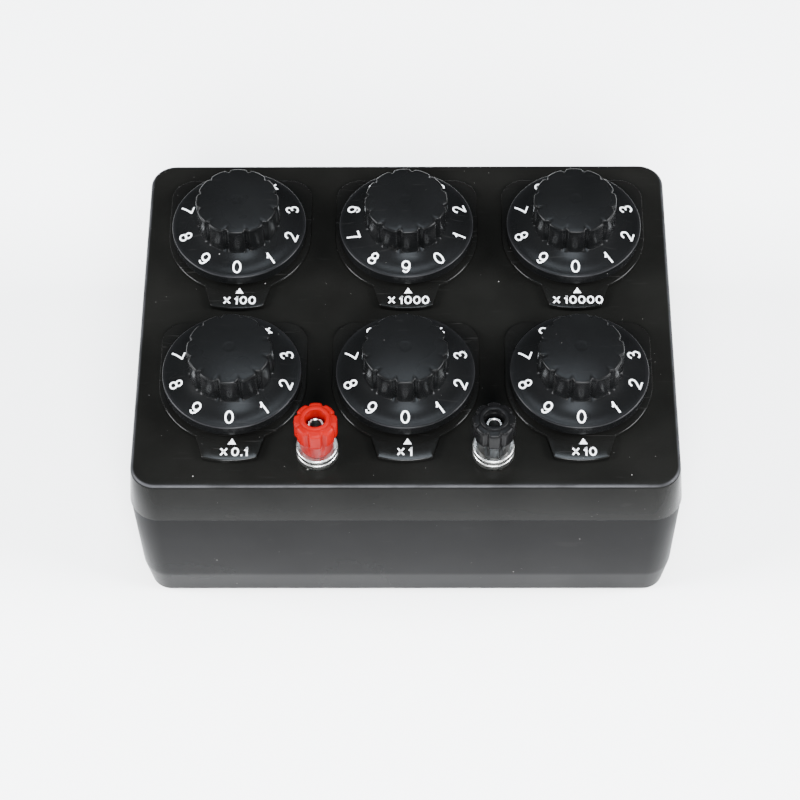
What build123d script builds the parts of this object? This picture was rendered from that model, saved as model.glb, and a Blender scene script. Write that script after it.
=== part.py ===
from build123d import *
import os
from math import cos, pi, radians, sin, sqrt, tan

# Six-dial resistance decade box. Millimetres, +Z up, origin on the surface it stands on,
# midway between the sides. +X runs to the right along the front, +Y runs to the back.

# Overall sizes: the panel is the flat top face, before its edge is bevelled
panel_length = 200.0
panel_depth = 150.5
case_height = 75.0
foot_proud = 1.0
corner_radius = 9.5

# Top cover
cover_height = 20.0
cover_flare = 1.8
panel_thickness = 3.0
cover_wall = 2.5
cover_edge = 1.0

# Bottom case
seam_step = 0.25
case_wall = 2.5
case_draft = 1.15
band_height = 14.5
band_draft = 2.2
base_thickness = 2.5
base_edge = 0.8
lip_height = 3.0
lip_root = 4.0
lip_wall = 1.2
lip_gap = 0.15

# Screw columns, cover screws and feet
column_inset = 9.5
column_radius = 5.0
boss_radius = 4.0
boss_hole_depth = 12.0
screw_radius = 1.5
screw_head_radius = 3.0
screw_head_height = 2.4
screw_shelf = 8.0
screw_clearance = 0.2
counterbore_clearance = 0.6
screw_engagement = 10.0
foot_inset = 26.0
foot_radius = 6.5
foot_recess = 1.3
foot_clearance = 0.2

# Panel layout: margins and gaps round the pointer plates of three columns and two rows
columns = 3
rows = 2
positions = 10
side_margin = 8.7
front_margin = 10.15
back_margin = 9.25
column_gap = 9.4
row_gap = 6.5
tab_length = 7.7

# Pointer plates: as large as both directions leave room for. Shares are of the plate's radius.
plate_radius = min(
    (panel_length - 2 * side_margin - (columns - 1) * column_gap) / (2 * columns),
    (panel_depth - front_margin - back_margin - rows * tab_length - (rows - 1) * row_gap) / (2 * rows),
)
plate_thickness = 2.0
plate_corner_share = 0.33
tab_root_share = 0.46
tab_tip_share = 0.366
tab_root_reach_share = 0.897
tab_corner_radius = 1.2

# Dial knob
plate_rim = 1.7
skirt_lift = 4.5
rim_height = 4.5
rim_edge = 0.5
skirt_rise = 3.0
crown_share = 0.6133
crown_height = 11.4
crown_edge = 1.2
crown_rise = 0.8
lobes = 12
flute_depth = 1.0
flute_half_width = 1.5
flute_root_half_width = 0.3
nut_recess_clearance = 2.0
knob_bore_top = 7.0

# Shaft, knob screw and bushing
shaft_radius = 3.0
shaft_top_clearance = 0.5
shaft_flat = 0.5
shaft_flat_length = 8.0
grip_clearance = 0.02
running_clearance = 0.03
set_screw_radius = 2.0
set_screw_length = 6.5
set_screw_clearance = 0.05
set_screw_height = 5.5
bushing_radius = 4.5
bushing_hole_clearance = 0.1
bushing_flange_radius = 6.5
bushing_flange = 1.5
bushing_proud = 0.6
hub_gap = 0.3
washer_radius = 7.2
washer_thickness = 0.5
nut_across_flats = 12.0
nut_thickness = 2.5

# Detent: plate, wheel and leaf spring
detent_plate_thickness = 1.5
detent_plate_radius = 13.0
ear_radius = 4.5
wheel_gap = 0.1
wheel_radius = 11.0
wheel_thickness = 3.0
notch_depth = 1.2
notch_half_width = 2.1
notch_root_half_width = 0.4
spring_thickness = 0.5
spring_standoff = 1.25
spring_half_length = 12.0
spring_gap = 0.06
spring_tab_thickness = 1.5
spring_tab_margin = 1.4

# Contact deck, a share of the pointer plate, then its lugs, common ring, pillars and wiper as shares of the deck
deck_share = 0.9084
lug_tail = 4.7
lug_inner_share = 0.605
lug_width = 3.4
deck_thickness = 2.0
deck_drop = 16.8
deck_bore_clearance = 0.4
contact_thickness = 0.8
ring_inner_share = 0.3226
ring_outer_share = 0.4435
tail_share = 0.524
tail_width = 3.0
tail_pin_radius = 1.0
tail_pin_proud = 1.5
pillar_circle_share = 0.887
pillar_across_flats = 4.5
pillar_rivet_radius = 1.5
pillar_clearance = 0.05
wiper_hub_across_flats = 9.0
wiper_reach_share = 0.72
wiper_heel_share = 0.427
wiper_width = 4.2
wiper_blade = 0.8
wiper_gap = 0.1
shaft_tail = 1.5

# Resistor cards
card_inset = 3.5
card_gap = 0.9
card_height = 18.0
card_thickness = 0.8
card_drop = 3.2
winding_side = 1.8
winding_margin = 2.0
winding_thickness = 1.6
card_tab_width = 1.4

# Link straps
strap_width = 2.4
strap_thickness = 0.8
strap_clearance = 0.9
strap_step = 2.2
lane_gap = 1.8
strap_overlap = 0.9

# Binding posts
post_margin = 14.55
post_ring_radius = 7.65
collar_thickness = 2.8
ring_edge = 0.45
ring_thickness = 2.6
ring_rest_gap = 0.2
stem_radius = 3.0
stem_height = 19.0
socket_radius = 2.0
socket_depth = 14.0
wire_hole_radius = 0.8
wire_hole_height = 4.0
stud_radius = 2.5
stud_length = 9.5
stud_clearance = 0.1
thread_clearance = 0.05
cap_gap = 0.1
cap_foot_radius = 5.6
cap_waist_radius = 6.5
cap_head_radius = 7.8
cap_plain_height = 7.1
cap_head_height = 9.2
cap_top_edge = 1.4
cap_thread_height = 8.0
cap_mouth_radius = 3.75
cap_lip_radius = 5.3
cap_lip_height = 0.9
cap_lobes = 8
cap_flute_radius = 1.1
cap_flute_depth = 0.9
post_nut_across_flats = 8.0
post_nut_thickness = 4.0
tag_radius = 5.0
tag_thickness = 0.8
tag_length = 12.0
tag_width = 3.0

# Levels that follow from the sizes above
base_z = foot_proud
panel_z = foot_proud + case_height
seam_z = panel_z - cover_height
ceiling_z = panel_z - panel_thickness
floor_z = base_z + base_thickness
band_z = base_z + band_height
plate_top_z = panel_z + plate_thickness
nut_base_z = plate_top_z + washer_thickness
bushing_top_z = nut_base_z + nut_thickness + bushing_proud
skirt_bottom_z = panel_z + skirt_lift
rim_z = skirt_bottom_z + rim_height
crown_base_z = rim_z + skirt_rise
crown_top_z = crown_base_z + crown_height
hub_bottom_z = bushing_top_z + hub_gap
shaft_top_z = crown_base_z + knob_bore_top - shaft_top_clearance
set_screw_z = crown_base_z + set_screw_height
plate_bottom_z = ceiling_z - detent_plate_thickness
bushing_bottom_z = plate_bottom_z - bushing_flange
wheel_top_z = bushing_bottom_z - wheel_gap
wheel_bottom_z = wheel_top_z - wheel_thickness
deck_top_z = panel_z - deck_drop
deck_bottom_z = deck_top_z - deck_thickness
contact_top_z = deck_top_z + contact_thickness
wiper_bottom_z = contact_top_z + wiper_gap
tail_pin_z = deck_bottom_z - tail_pin_proud
shaft_bottom_z = deck_bottom_z - shaft_tail
first_strap_z = tail_pin_z - strap_clearance

# Dial centres and radii that follow from the panel and its pointer plates
tab_reach = plate_radius + tab_length
front_row_y = -panel_depth / 2 + front_margin + tab_reach
back_row_y = panel_depth / 2 - back_margin - plate_radius
row_pitch = back_row_y - front_row_y
column_pitch = panel_length / 2 - side_margin - plate_radius
post_y = -panel_depth / 2 + post_margin
skirt_radius = plate_radius - plate_rim
crown_radius = crown_share * skirt_radius
deck_radius = deck_share * plate_radius
lug_outer_radius = deck_radius + lug_tail
lug_inner_radius = lug_inner_share * deck_radius
ring_inner_radius = ring_inner_share * deck_radius
ring_outer_radius = ring_outer_share * deck_radius
tail_radius = tail_share * deck_radius
pillar_circle_radius = pillar_circle_share * deck_radius
wiper_reach = wiper_reach_share * deck_radius
wiper_heel = wiper_heel_share * deck_radius
card_circle_radius = lug_outer_radius - card_inset
card_width = 2 * card_circle_radius * tan(pi / positions) - card_gap
winding_width = card_width - 2 * winding_side
front_lane_y = front_row_y + lug_outer_radius + lane_gap
back_lane_y = back_row_y - lug_outer_radius - lane_gap

# Insets of the outer walls, measured inwards from the panel outline
seam_inset = seam_step - cover_flare
band_inset = seam_inset + case_draft
base_inset = band_inset + band_draft

# Each decade: name, column, row and the number its dial shows at rest. The straps join them in this order.
decades = [
    ("x0_1", -1, 0, 0),
    ("x1", 0, 0, 0),
    ("x10", 1, 0, 0),
    ("x100", -1, 1, 0),
    ("x1000", 0, 1, 9),
    ("x10000", 1, 1, 0),
]
posts = [("red", -1), ("black", 1)]
step_angle = 360 / positions
screw_places = [
    (sx * (panel_length / 2 - column_inset), sy * (panel_depth / 2 - column_inset))
    for sx in (-1, 1)
    for sy in (-1, 1)
]
foot_places = [
    (sx * (panel_length / 2 - foot_inset), sy * (panel_depth / 2 - foot_inset))
    for sx in (-1, 1)
    for sy in (-1, 1)
]


def dial_place(column, row):
    """Centre of a dial on the panel plan."""
    return column * column_pitch, front_row_y + row * row_pitch


def post_place(side):
    """Centre of a binding post, midway between two dial columns."""
    return side * column_pitch / 2, post_y


def dial_turn(value):
    """Angle of a dial that shows the given number: clockwise raises the number."""
    return -step_angle * value


def gap_angle(row):
    """Direction of the gap between the last contact and the first: it faces the other row."""
    return 90 if row == 0 else -90


def contact_angle(row, number):
    """Direction of a numbered contact, seen from its dial's axis."""
    return gap_angle(row) - step_angle / 2 - step_angle * number


def disc(radius, bottom, top, place=(0, 0)):
    """Upright cylinder between two levels."""
    return Pos(place[0], place[1], bottom) * extrude(Circle(radius), top - bottom)


def block(x, y, z):
    """Box from three (low, high) pairs."""
    size = (x[1] - x[0], y[1] - y[0], z[1] - z[0])
    return Pos((x[0] + x[1]) / 2, (y[0] + y[1]) / 2, (z[0] + z[1]) / 2) * Box(*size)


def hexagon(across_flats, bottom, top):
    """Upright hexagonal prism between two levels."""
    return Pos(0, 0, bottom) * extrude(RegularPolygon(across_flats / 2, 6, major_radius=False), top - bottom)


def turned(*points):
    """Solid of revolution about Z from a closed outline of (radius, height) points."""
    return revolve(Plane.XZ * make_face(Polyline(*points, close=True)), Axis.Z)


def shell_solid(levels):
    """Drafted rounded block through (inset, height) levels of the panel outline."""
    sections = [
        Pos(0, 0, z)
        * RectangleRounded(panel_length - 2 * inset, panel_depth - 2 * inset, corner_radius - inset)
        for inset, z in levels
    ]
    return loft(sections, ruled=True)


def at_places(piece, places):
    """Copies of a piece at several plan positions."""
    return [Pos(x, y, 0) * piece for x, y in places]


def save(node, pieces):
    """Writes one node, as one solid or as a group of separate solids."""
    solids = [solid for piece in pieces for solid in piece.solids()]
    shape = solids[0] if len(solids) == 1 else Compound(solids)
    shape.label = node
    export_step(shape, os.path.join("parts", node + ".step"))


def cover_inner_inset(z):
    """Inset of the cover's inner wall at a level between the seam and the ceiling."""
    share = (z - seam_z) / (ceiling_z - seam_z)
    return cover_wall - cover_flare * (1 - share)


def top_cover():
    """Lid: flat panel, flared skirt with a bevelled top edge, four screw bosses and the panel holes."""
    outer = shell_solid([(-cover_flare, seam_z), (0, panel_z - cover_edge), (cover_edge, panel_z)])
    inner = shell_solid([(cover_inner_inset(seam_z), seam_z), (cover_wall, ceiling_z)])
    cover = outer - inner
    for place in screw_places:
        cover += disc(boss_radius, seam_z, ceiling_z, place)
    for place in screw_places:
        cover -= disc(screw_radius, seam_z, seam_z + boss_hole_depth, place)
    for _, column, row, _ in decades:
        cover -= disc(bushing_radius + bushing_hole_clearance, ceiling_z, panel_z, dial_place(column, row))
    for _, side in posts:
        cover -= disc(stud_radius + stud_clearance, ceiling_z, panel_z, post_place(side))
    return cover


def bottom_case():
    """Tray: drafted walls over a bevelled band, a lip that enters the cover, columns and foot recesses."""
    outer = shell_solid(
        [
            (base_inset + base_edge, base_z),
            (base_inset, base_z + base_edge),
            (band_inset, band_z),
            (seam_inset, seam_z),
        ]
    )
    inner = shell_solid(
        [
            (base_inset + case_wall, floor_z),
            (band_inset + case_wall, band_z),
            (seam_inset + case_wall, seam_z),
        ]
    )
    case = outer - inner
    lip_top_z = seam_z + lip_height
    lip_outer = cover_inner_inset(lip_top_z) + lip_gap
    lip_inner = lip_outer + lip_wall
    root_outer = seam_inset + case_wall / 2
    lip = shell_solid([(lip_outer, seam_z), (lip_outer, lip_top_z)])
    root = shell_solid([(root_outer, seam_z - lip_root), (root_outer, seam_z)])
    bore = shell_solid([(lip_inner, seam_z - lip_root), (lip_inner, lip_top_z)])
    case += (lip + root) - bore
    head_seat_z = seam_z - screw_shelf
    for place in screw_places:
        case += disc(column_radius, base_z + base_edge, seam_z, place)
    for place in screw_places:
        case -= disc(screw_head_radius + counterbore_clearance, base_z, head_seat_z, place)
        case -= disc(screw_radius + screw_clearance, head_seat_z, seam_z, place)
    for place in foot_places:
        case -= disc(foot_radius + foot_clearance, base_z, base_z + foot_recess, place)
    return case


def case_screws():
    """Four screws that come up through the case columns into the cover bosses."""
    head_seat_z = seam_z - screw_shelf
    head = disc(screw_head_radius, head_seat_z - screw_head_height, head_seat_z)
    shank = disc(screw_radius, head_seat_z, seam_z + screw_engagement)
    return at_places(head + shank, screw_places)


def rubber_feet():
    """Four round feet, stuck in shallow recesses."""
    return at_places(disc(foot_radius, 0, base_z + foot_recess), foot_places)


def pointer_plates():
    """Raised plates round the dials: square at the back, round at the front, with a tapered tab."""
    square = Pos(0, plate_radius / 2) * Rectangle(2 * plate_radius, plate_radius)
    square = fillet(square.vertices().group_by(Axis.Y)[-1], plate_corner_share * plate_radius)
    tab_tip_half_width = tab_tip_share * plate_radius
    tab_root_half_width = tab_root_share * plate_radius
    tab_root_reach = tab_root_reach_share * plate_radius
    tip_y = -sqrt(tab_reach**2 - tab_tip_half_width**2)
    tab_edge = (
        Polyline(
            (-tab_tip_half_width, tip_y),
            (-tab_root_half_width, -tab_root_reach),
            (tab_root_half_width, -tab_root_reach),
            (tab_tip_half_width, tip_y),
        )
        + ThreePointArc((tab_tip_half_width, tip_y), (0, -tab_reach), (-tab_tip_half_width, tip_y))
    )
    tab = make_face(tab_edge)
    tab = fillet(tab.vertices().group_by(Axis.Y)[0], tab_corner_radius)
    outline = square + Circle(plate_radius) + tab - Circle(bushing_radius + bushing_hole_clearance)
    plate = Pos(0, 0, panel_z) * extrude(outline, plate_thickness)
    return at_places(plate, [dial_place(column, row) for _, column, row, _ in decades])


def dial_knob():
    """One moulding: skirt with a conical number face, a fluted crown and a recess over the nut."""
    skirt = turned(
        (0, skirt_bottom_z),
        (skirt_radius, skirt_bottom_z),
        (skirt_radius, rim_z - rim_edge),
        (skirt_radius - rim_edge, rim_z),
        (crown_radius - flute_depth, crown_base_z),
        (0, crown_base_z),
    )
    summit_z = crown_top_z + crown_rise
    crown = turned(
        (0, rim_z),
        (crown_radius, rim_z),
        (crown_radius, crown_top_z - crown_edge),
        (crown_radius - crown_edge, crown_top_z),
        (0, summit_z),
    )
    flute_section = Polygon(
        (crown_radius - flute_depth, -flute_root_half_width),
        (crown_radius + flute_depth, -2 * flute_half_width + flute_root_half_width),
        (crown_radius + flute_depth, 2 * flute_half_width - flute_root_half_width),
        (crown_radius - flute_depth, flute_root_half_width),
        align=None,
    )
    flute = Pos(0, 0, rim_z) * extrude(flute_section, summit_z - rim_z)
    for place in PolarLocations(0, lobes, start_angle=180 / lobes):
        crown -= place * flute
    knob = skirt + crown
    knob -= disc(nut_across_flats / 2 + nut_recess_clearance, skirt_bottom_z, hub_bottom_z)
    knob -= disc(shaft_radius + grip_clearance, hub_bottom_z, crown_base_z + knob_bore_top)
    screw_hole = extrude(Circle(set_screw_radius), crown_radius)
    knob -= Pos(0, 0, set_screw_z) * Rot(-90, 0, 0) * screw_hole
    return knob


def set_screw():
    """Headless screw in the back of the crown: its point bears on the shaft's flat."""
    body = Cylinder(set_screw_radius - set_screw_clearance, set_screw_length)
    return Pos(0, shaft_radius - shaft_flat + set_screw_length / 2, set_screw_z) * Rot(90, 0, 0) * body


def dial_shaft():
    """Shaft with a flat for the knob screw."""
    shaft = disc(shaft_radius, shaft_bottom_z, shaft_top_z)
    flat = block(
        (-shaft_radius, shaft_radius),
        (shaft_radius - shaft_flat, shaft_radius),
        (shaft_top_z - shaft_flat_length, shaft_top_z),
    )
    return shaft - flat


def detent_wheel():
    """Notched wheel on the shaft: one notch for each number."""
    root = wheel_radius - notch_depth
    corners = []
    for number in range(positions):
        notch_turn = Rot(0, 0, 180 + step_angle * number)
        for x, y in (
            (wheel_radius, -notch_half_width),
            (root, -notch_root_half_width),
            (root, notch_root_half_width),
            (wheel_radius, notch_half_width),
        ):
            corner = (notch_turn * Pos(x, y, 0)).position
            corners.append((corner.X, corner.Y))
    outline = Polygon(*corners, align=None) - Circle(shaft_radius + grip_clearance)
    return Pos(0, 0, wheel_bottom_z) * extrude(outline, wheel_thickness)


def wiper():
    """Brass boss on the shaft with a blade that bridges the common ring and one contact."""
    hub = hexagon(wiper_hub_across_flats, wiper_bottom_z, wheel_bottom_z)
    blade = block(
        (-wiper_heel, wiper_reach),
        (-wiper_width / 2, wiper_width / 2),
        (wiper_bottom_z, wiper_bottom_z + wiper_blade),
    )
    return hub + blade - disc(shaft_radius + grip_clearance, wiper_bottom_z, wheel_bottom_z)


def bushing():
    """Threaded bushing: flange under the detent plate, barrel up through the panel."""
    barrel = disc(bushing_radius, bushing_bottom_z, bushing_top_z)
    flange = disc(bushing_flange_radius, bushing_bottom_z, plate_bottom_z)
    return barrel + flange - disc(shaft_radius + running_clearance, bushing_bottom_z, bushing_top_z)


def bushing_washer():
    """Washer between the pointer plate and the nut."""
    hole = disc(bushing_radius + bushing_hole_clearance, plate_top_z, nut_base_z)
    return disc(washer_radius, plate_top_z, nut_base_z) - hole


def bushing_nut():
    """Hexagon nut that clamps the pointer plate, the panel and the switch together."""
    top = nut_base_z + nut_thickness
    return hexagon(nut_across_flats, nut_base_z, top) - disc(bushing_radius, nut_base_z, top)


def spring_face_x():
    """Distance from the axis to the inner face of the detent spring's straight strip."""
    return wheel_radius + spring_standoff


def detent_plate(row):
    """Stamped plate under the panel: ears for the pillars and two folded tabs for the spring."""
    ears = Pos(pillar_circle_radius, 0) * Circle(ear_radius) + Pos(-pillar_circle_radius, 0) * Circle(ear_radius)
    outline = make_hull((Circle(detent_plate_radius) + ears).edges())
    outline = Rot(0, 0, gap_angle(row)) * outline
    outer_x = spring_face_x() + spring_thickness + spring_tab_margin
    outer_y = spring_half_length + spring_tab_thickness
    outline += Pos(-outer_x / 2, 0) * Rectangle(outer_x, 2 * outer_y)
    outline -= Circle(bushing_radius + bushing_hole_clearance)
    plate = Pos(0, 0, plate_bottom_z) * extrude(outline, detent_plate_thickness)
    for side in (-1, 1):
        ends = sorted((side * spring_half_length, side * outer_y))
        inner_x = spring_face_x() - spring_tab_margin
        plate += block((-outer_x, -inner_x), ends, (wheel_bottom_z, plate_bottom_z))
    return plate


def detent_spring():
    """Leaf spring held between the two tabs, with a nose that rests in a notch."""
    face = -spring_face_x()
    strip = block(
        (face - spring_thickness, face), (-spring_half_length, spring_half_length), (wheel_bottom_z, wheel_top_z)
    )
    tip = -(wheel_radius - notch_depth + spring_gap)
    slope = (notch_half_width - notch_root_half_width) / notch_depth
    tip_half = notch_root_half_width - spring_gap
    foot_half = tip_half + slope * (tip - face)
    nose_outline = Polygon((face, -foot_half), (tip, -tip_half), (tip, tip_half), (face, foot_half), align=None)
    nose = Pos(0, 0, wheel_bottom_z) * extrude(nose_outline, wheel_thickness)
    return strip + nose


def contact_deck(row):
    """Ten-sided laminate that carries the contacts, with holes for the shaft, the rivets and the tail pin."""
    outline = RegularPolygon(deck_radius, positions, rotation=step_angle / 2)
    deck = Pos(0, 0, deck_bottom_z) * extrude(outline, deck_thickness)
    deck -= disc(shaft_radius + deck_bore_clearance, deck_bottom_z, deck_top_z)
    for angle in (gap_angle(row), gap_angle(row) + 180):
        rivet = disc(pillar_rivet_radius + pillar_clearance, deck_bottom_z, deck_top_z, (pillar_circle_radius, 0))
        deck -= Rot(0, 0, angle) * rivet
    pin = disc(tail_pin_radius, deck_bottom_z, deck_top_z, (tail_radius, 0))
    return deck - Rot(0, 0, gap_angle(row)) * pin


def deck_pillars(row):
    """Two riveted stand-offs between the detent plate and the deck."""
    body = hexagon(pillar_across_flats, deck_top_z, plate_bottom_z)
    rivet = disc(pillar_rivet_radius, deck_bottom_z, deck_top_z)
    pillar = Pos(pillar_circle_radius, 0, 0) * (body + rivet)
    return [Rot(0, 0, angle) * pillar for angle in (gap_angle(row), gap_angle(row) + 180)]


def contact_lugs(row):
    """Ten flat contacts on the deck, which run out past its edge as solder lugs."""
    lug = block(
        (lug_inner_radius, lug_outer_radius), (-lug_width / 2, lug_width / 2), (deck_top_z, contact_top_z)
    )
    return [Rot(0, 0, contact_angle(row, number)) * lug for number in range(positions)]


def common_ring(row):
    """Flat ring under the wiper's heel, with a tail and a pin through the deck."""
    ring = disc(ring_outer_radius, deck_top_z, contact_top_z) - disc(ring_inner_radius, deck_top_z, contact_top_z)
    middle = (ring_inner_radius + ring_outer_radius) / 2
    tail = block(
        (middle, tail_radius + tail_width / 2), (-tail_width / 2, tail_width / 2), (deck_top_z, contact_top_z)
    )
    pin = disc(tail_pin_radius, tail_pin_z, deck_top_z, (tail_radius, 0))
    return Rot(0, 0, gap_angle(row)) * (ring + tail + pin)


def resistor_cards(row):
    """Wire-wound cards, each hung between two neighbouring contacts of a decade."""
    top = deck_top_z - card_drop
    card = block(
        (card_circle_radius - card_thickness / 2, card_circle_radius + card_thickness / 2),
        (-card_width / 2, card_width / 2),
        (top - card_height, top),
    )
    card += block(
        (card_circle_radius - winding_thickness / 2, card_circle_radius + winding_thickness / 2),
        (-winding_width / 2, winding_width / 2),
        (top - card_height + winding_margin, top - winding_margin),
    )
    for side in (-1, 1):
        ends = sorted((side * card_width / 2, side * (card_width / 2 - card_tab_width)))
        card += block(
            (card_circle_radius - card_thickness / 2, card_circle_radius + card_thickness / 2),
            ends,
            (top, deck_top_z),
        )
    middles = [contact_angle(row, number) - step_angle / 2 for number in range(positions - 1)]
    return [Rot(0, 0, angle) * card for angle in middles]


def strap(points):
    """Flat strap along runs parallel to the axes, given as a list of corner points."""
    pieces = []
    for start, end in zip(points, points[1:]):
        spans = [sorted((a, b)) for a, b in zip(start, end)]
        upright = abs(start[2] - end[2]) > 0
        sideways = abs(start[0] - end[0]) > 0
        margins = (strap_width / 2, strap_width / 2 if sideways else strap_thickness / 2, 0)
        x, y, z = [(low - margin, high + margin) for (low, high), margin in zip(spans, margins)]
        if not upright:
            z = (z[0], z[1] + strap_thickness)
        pieces.append(block(x, y, z))
    joined = pieces[0]
    for piece in pieces[1:]:
        joined += piece
    return joined


def lug_point(column, row):
    """Plan position under the outer end of a decade's first contact."""
    x, y = dial_place(column, row)
    reach = lug_outer_radius - strap_overlap
    angle = radians(contact_angle(row, 0))
    return x + reach * cos(angle), y + reach * sin(angle)


def pin_point(column, row):
    """Plan position of a decade's common pin."""
    x, y = dial_place(column, row)
    return x, y + tail_radius * sin(radians(gap_angle(row)))


def link_straps():
    """Straps that put the decades in series, and the two leads to the binding posts."""
    tag_end = tag_length - strap_overlap
    tag_z = ceiling_z - tag_thickness
    straps = []
    for number in range(len(decades) + 1):
        level = first_strap_z - number * strap_step
        before = decades[number - 1] if number > 0 else None
        after = decades[number] if number < len(decades) else None
        if before is None:
            x, y = post_place(posts[0][1])
            start = (x, y + tag_end)
            start_z = tag_z
            lane = front_lane_y
        else:
            start = pin_point(before[1], before[2])
            start_z = tail_pin_z
            lane = back_lane_y
        if after is None:
            x, y = post_place(posts[1][1])
            end = (x, y + tag_end)
            end_z = tag_z
        else:
            end = lug_point(after[1], after[2])
            end_z = deck_top_z
            lane = front_lane_y if after[2] == 0 else back_lane_y
        straps.append(
            strap(
                [
                    (start[0], start[1], start_z),
                    (start[0], start[1], level),
                    (start[0], lane, level),
                    (end[0], lane, level),
                    (end[0], end[1], level),
                    (end[0], end[1], end_z),
                ]
            )
        )
    return straps


def post_stem():
    """Turned stem: collar on the panel, tube with the socket bore, wire hole and threaded stud."""
    stem = turned(
        (0, panel_z - panel_thickness - stud_length),
        (stud_radius, panel_z - panel_thickness - stud_length),
        (stud_radius, panel_z),
        (post_ring_radius, panel_z),
        (post_ring_radius, panel_z + collar_thickness - ring_edge),
        (post_ring_radius - ring_edge, panel_z + collar_thickness),
        (stem_radius, panel_z + collar_thickness),
        (stem_radius, panel_z + stem_height),
        (0, panel_z + stem_height),
    )
    stem -= disc(socket_radius, panel_z + stem_height - socket_depth, panel_z + stem_height)
    wire_hole = Pos(0, 0, panel_z + wire_hole_height) * Rot(0, 90, 0) * Cylinder(wire_hole_radius, 4 * stem_radius)
    return stem - wire_hole


def clamp_ring():
    """Ring under the cap that presses a wire or a tag against the collar."""
    bottom = panel_z + collar_thickness + ring_rest_gap
    top = bottom + ring_thickness
    inner = stem_radius + thread_clearance
    return turned(
        (inner, bottom),
        (post_ring_radius - ring_edge, bottom),
        (post_ring_radius, bottom + ring_edge),
        (post_ring_radius, top - ring_edge),
        (post_ring_radius - ring_edge, top),
        (inner, top),
    )


def post_cap():
    """Screw cap: plain waist, fluted head, and a mouth that leads a plug into the socket."""
    bottom = panel_z + collar_thickness + ring_rest_gap + ring_thickness + cap_gap
    head_z = bottom + cap_plain_height
    top = head_z + cap_head_height
    thread = stem_radius + thread_clearance
    head = turned(
        (thread, head_z),
        (cap_waist_radius, head_z),
        (cap_head_radius, head_z + cap_head_radius - cap_waist_radius),
        (cap_head_radius, top - cap_top_edge),
        (cap_head_radius - cap_top_edge, top),
        (thread, top),
    )
    flute_circle = cap_head_radius - cap_flute_depth + cap_flute_radius
    for place in PolarLocations(flute_circle, cap_lobes, start_angle=180 / cap_lobes):
        head -= place * disc(cap_flute_radius, head_z, top)
    waist = turned((thread, bottom), (cap_foot_radius, bottom), (cap_waist_radius, head_z), (thread, head_z))
    lip = disc(cap_lip_radius, top, top + cap_lip_height)
    cap = head + waist + lip
    return cap - disc(cap_mouth_radius, bottom + cap_thread_height, top + cap_lip_height)


def post_nuts():
    """Nuts that hold the post stems and their solder tags under the panel."""
    top = ceiling_z - tag_thickness
    nut = hexagon(post_nut_across_flats, top - post_nut_thickness, top)
    nut -= disc(stud_radius, top - post_nut_thickness, top)
    return at_places(nut, [post_place(side) for _, side in posts])


def solder_tags():
    """Flat tags on the post studs: their tails meet the leads."""
    bottom = ceiling_z - tag_thickness
    tag = disc(tag_radius, bottom, ceiling_z)
    tag += block((-tag_width / 2, tag_width / 2), (0, tag_length), (bottom, ceiling_z))
    tag -= disc(stud_radius + stud_clearance, bottom, ceiling_z)
    return at_places(tag, [post_place(side) for _, side in posts])


def per_decade(make):
    """Pieces of all six switches, from a function of the row."""
    pieces = []
    for _, column, row, _ in decades:
        x, y = dial_place(column, row)
        made = make(row)
        made = made if isinstance(made, list) else [made]
        pieces += [Pos(x, y, 0) * piece for piece in made]
    return pieces


def main():
    """Builds every node and writes it to parts/."""
    os.makedirs("parts", exist_ok=True)
    centres = [dial_place(column, row) for _, column, row, _ in decades]
    save("top_cover", [top_cover()])
    save("bottom_case", [bottom_case()])
    save("case_screws", case_screws())
    save("rubber_feet", rubber_feet())
    save("pointer_plates", pointer_plates())
    save("bushings", at_places(bushing(), centres))
    save("bushing_washers", at_places(bushing_washer(), centres))
    save("bushing_nuts", at_places(bushing_nut(), centres))
    save("detent_plates", per_decade(detent_plate))
    save("detent_springs", at_places(detent_spring(), centres))
    save("contact_decks", per_decade(contact_deck))
    save("deck_pillars", per_decade(deck_pillars))
    save("contact_lugs", per_decade(contact_lugs))
    save("common_rings", per_decade(common_ring))
    save("link_straps", link_straps())
    save("post_nuts", post_nuts())
    save("solder_tags", solder_tags())

    moving = {
        "knob": dial_knob(),
        "knob_screw": set_screw(),
        "shaft": dial_shaft(),
        "detent_wheel": detent_wheel(),
    }
    wiper_blade_piece = wiper()
    for name, column, row, value in decades:
        x, y = dial_place(column, row)
        for kind, piece in moving.items():
            save(f"{kind}_{name}", [Pos(x, y, 0) * Rot(0, 0, dial_turn(value)) * piece])
        save(f"wiper_{name}", [Pos(x, y, 0) * Rot(0, 0, contact_angle(row, value)) * wiper_blade_piece])
        cards = [Pos(x, y, 0) * card for card in resistor_cards(row)]
        save(f"resistor_cards_{name}", cards)

    fixed_post = {"post_stem": post_stem(), "clamp_ring": clamp_ring(), "post_cap": post_cap()}
    for colour, side in posts:
        x, y = post_place(side)
        for kind, piece in fixed_post.items():
            save(f"{colour}_{kind}", [Pos(x, y, 0) * piece])


main()
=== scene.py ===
"""Looks of a six-dial resistance decade box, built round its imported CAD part. Metres, +Z up, front -Y."""

import logging
import math
from dataclasses import dataclass, field
from enum import Enum
from typing import Callable, Sequence

import bmesh
import bpy
import numpy as np
from mathutils import Matrix, Vector


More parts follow.
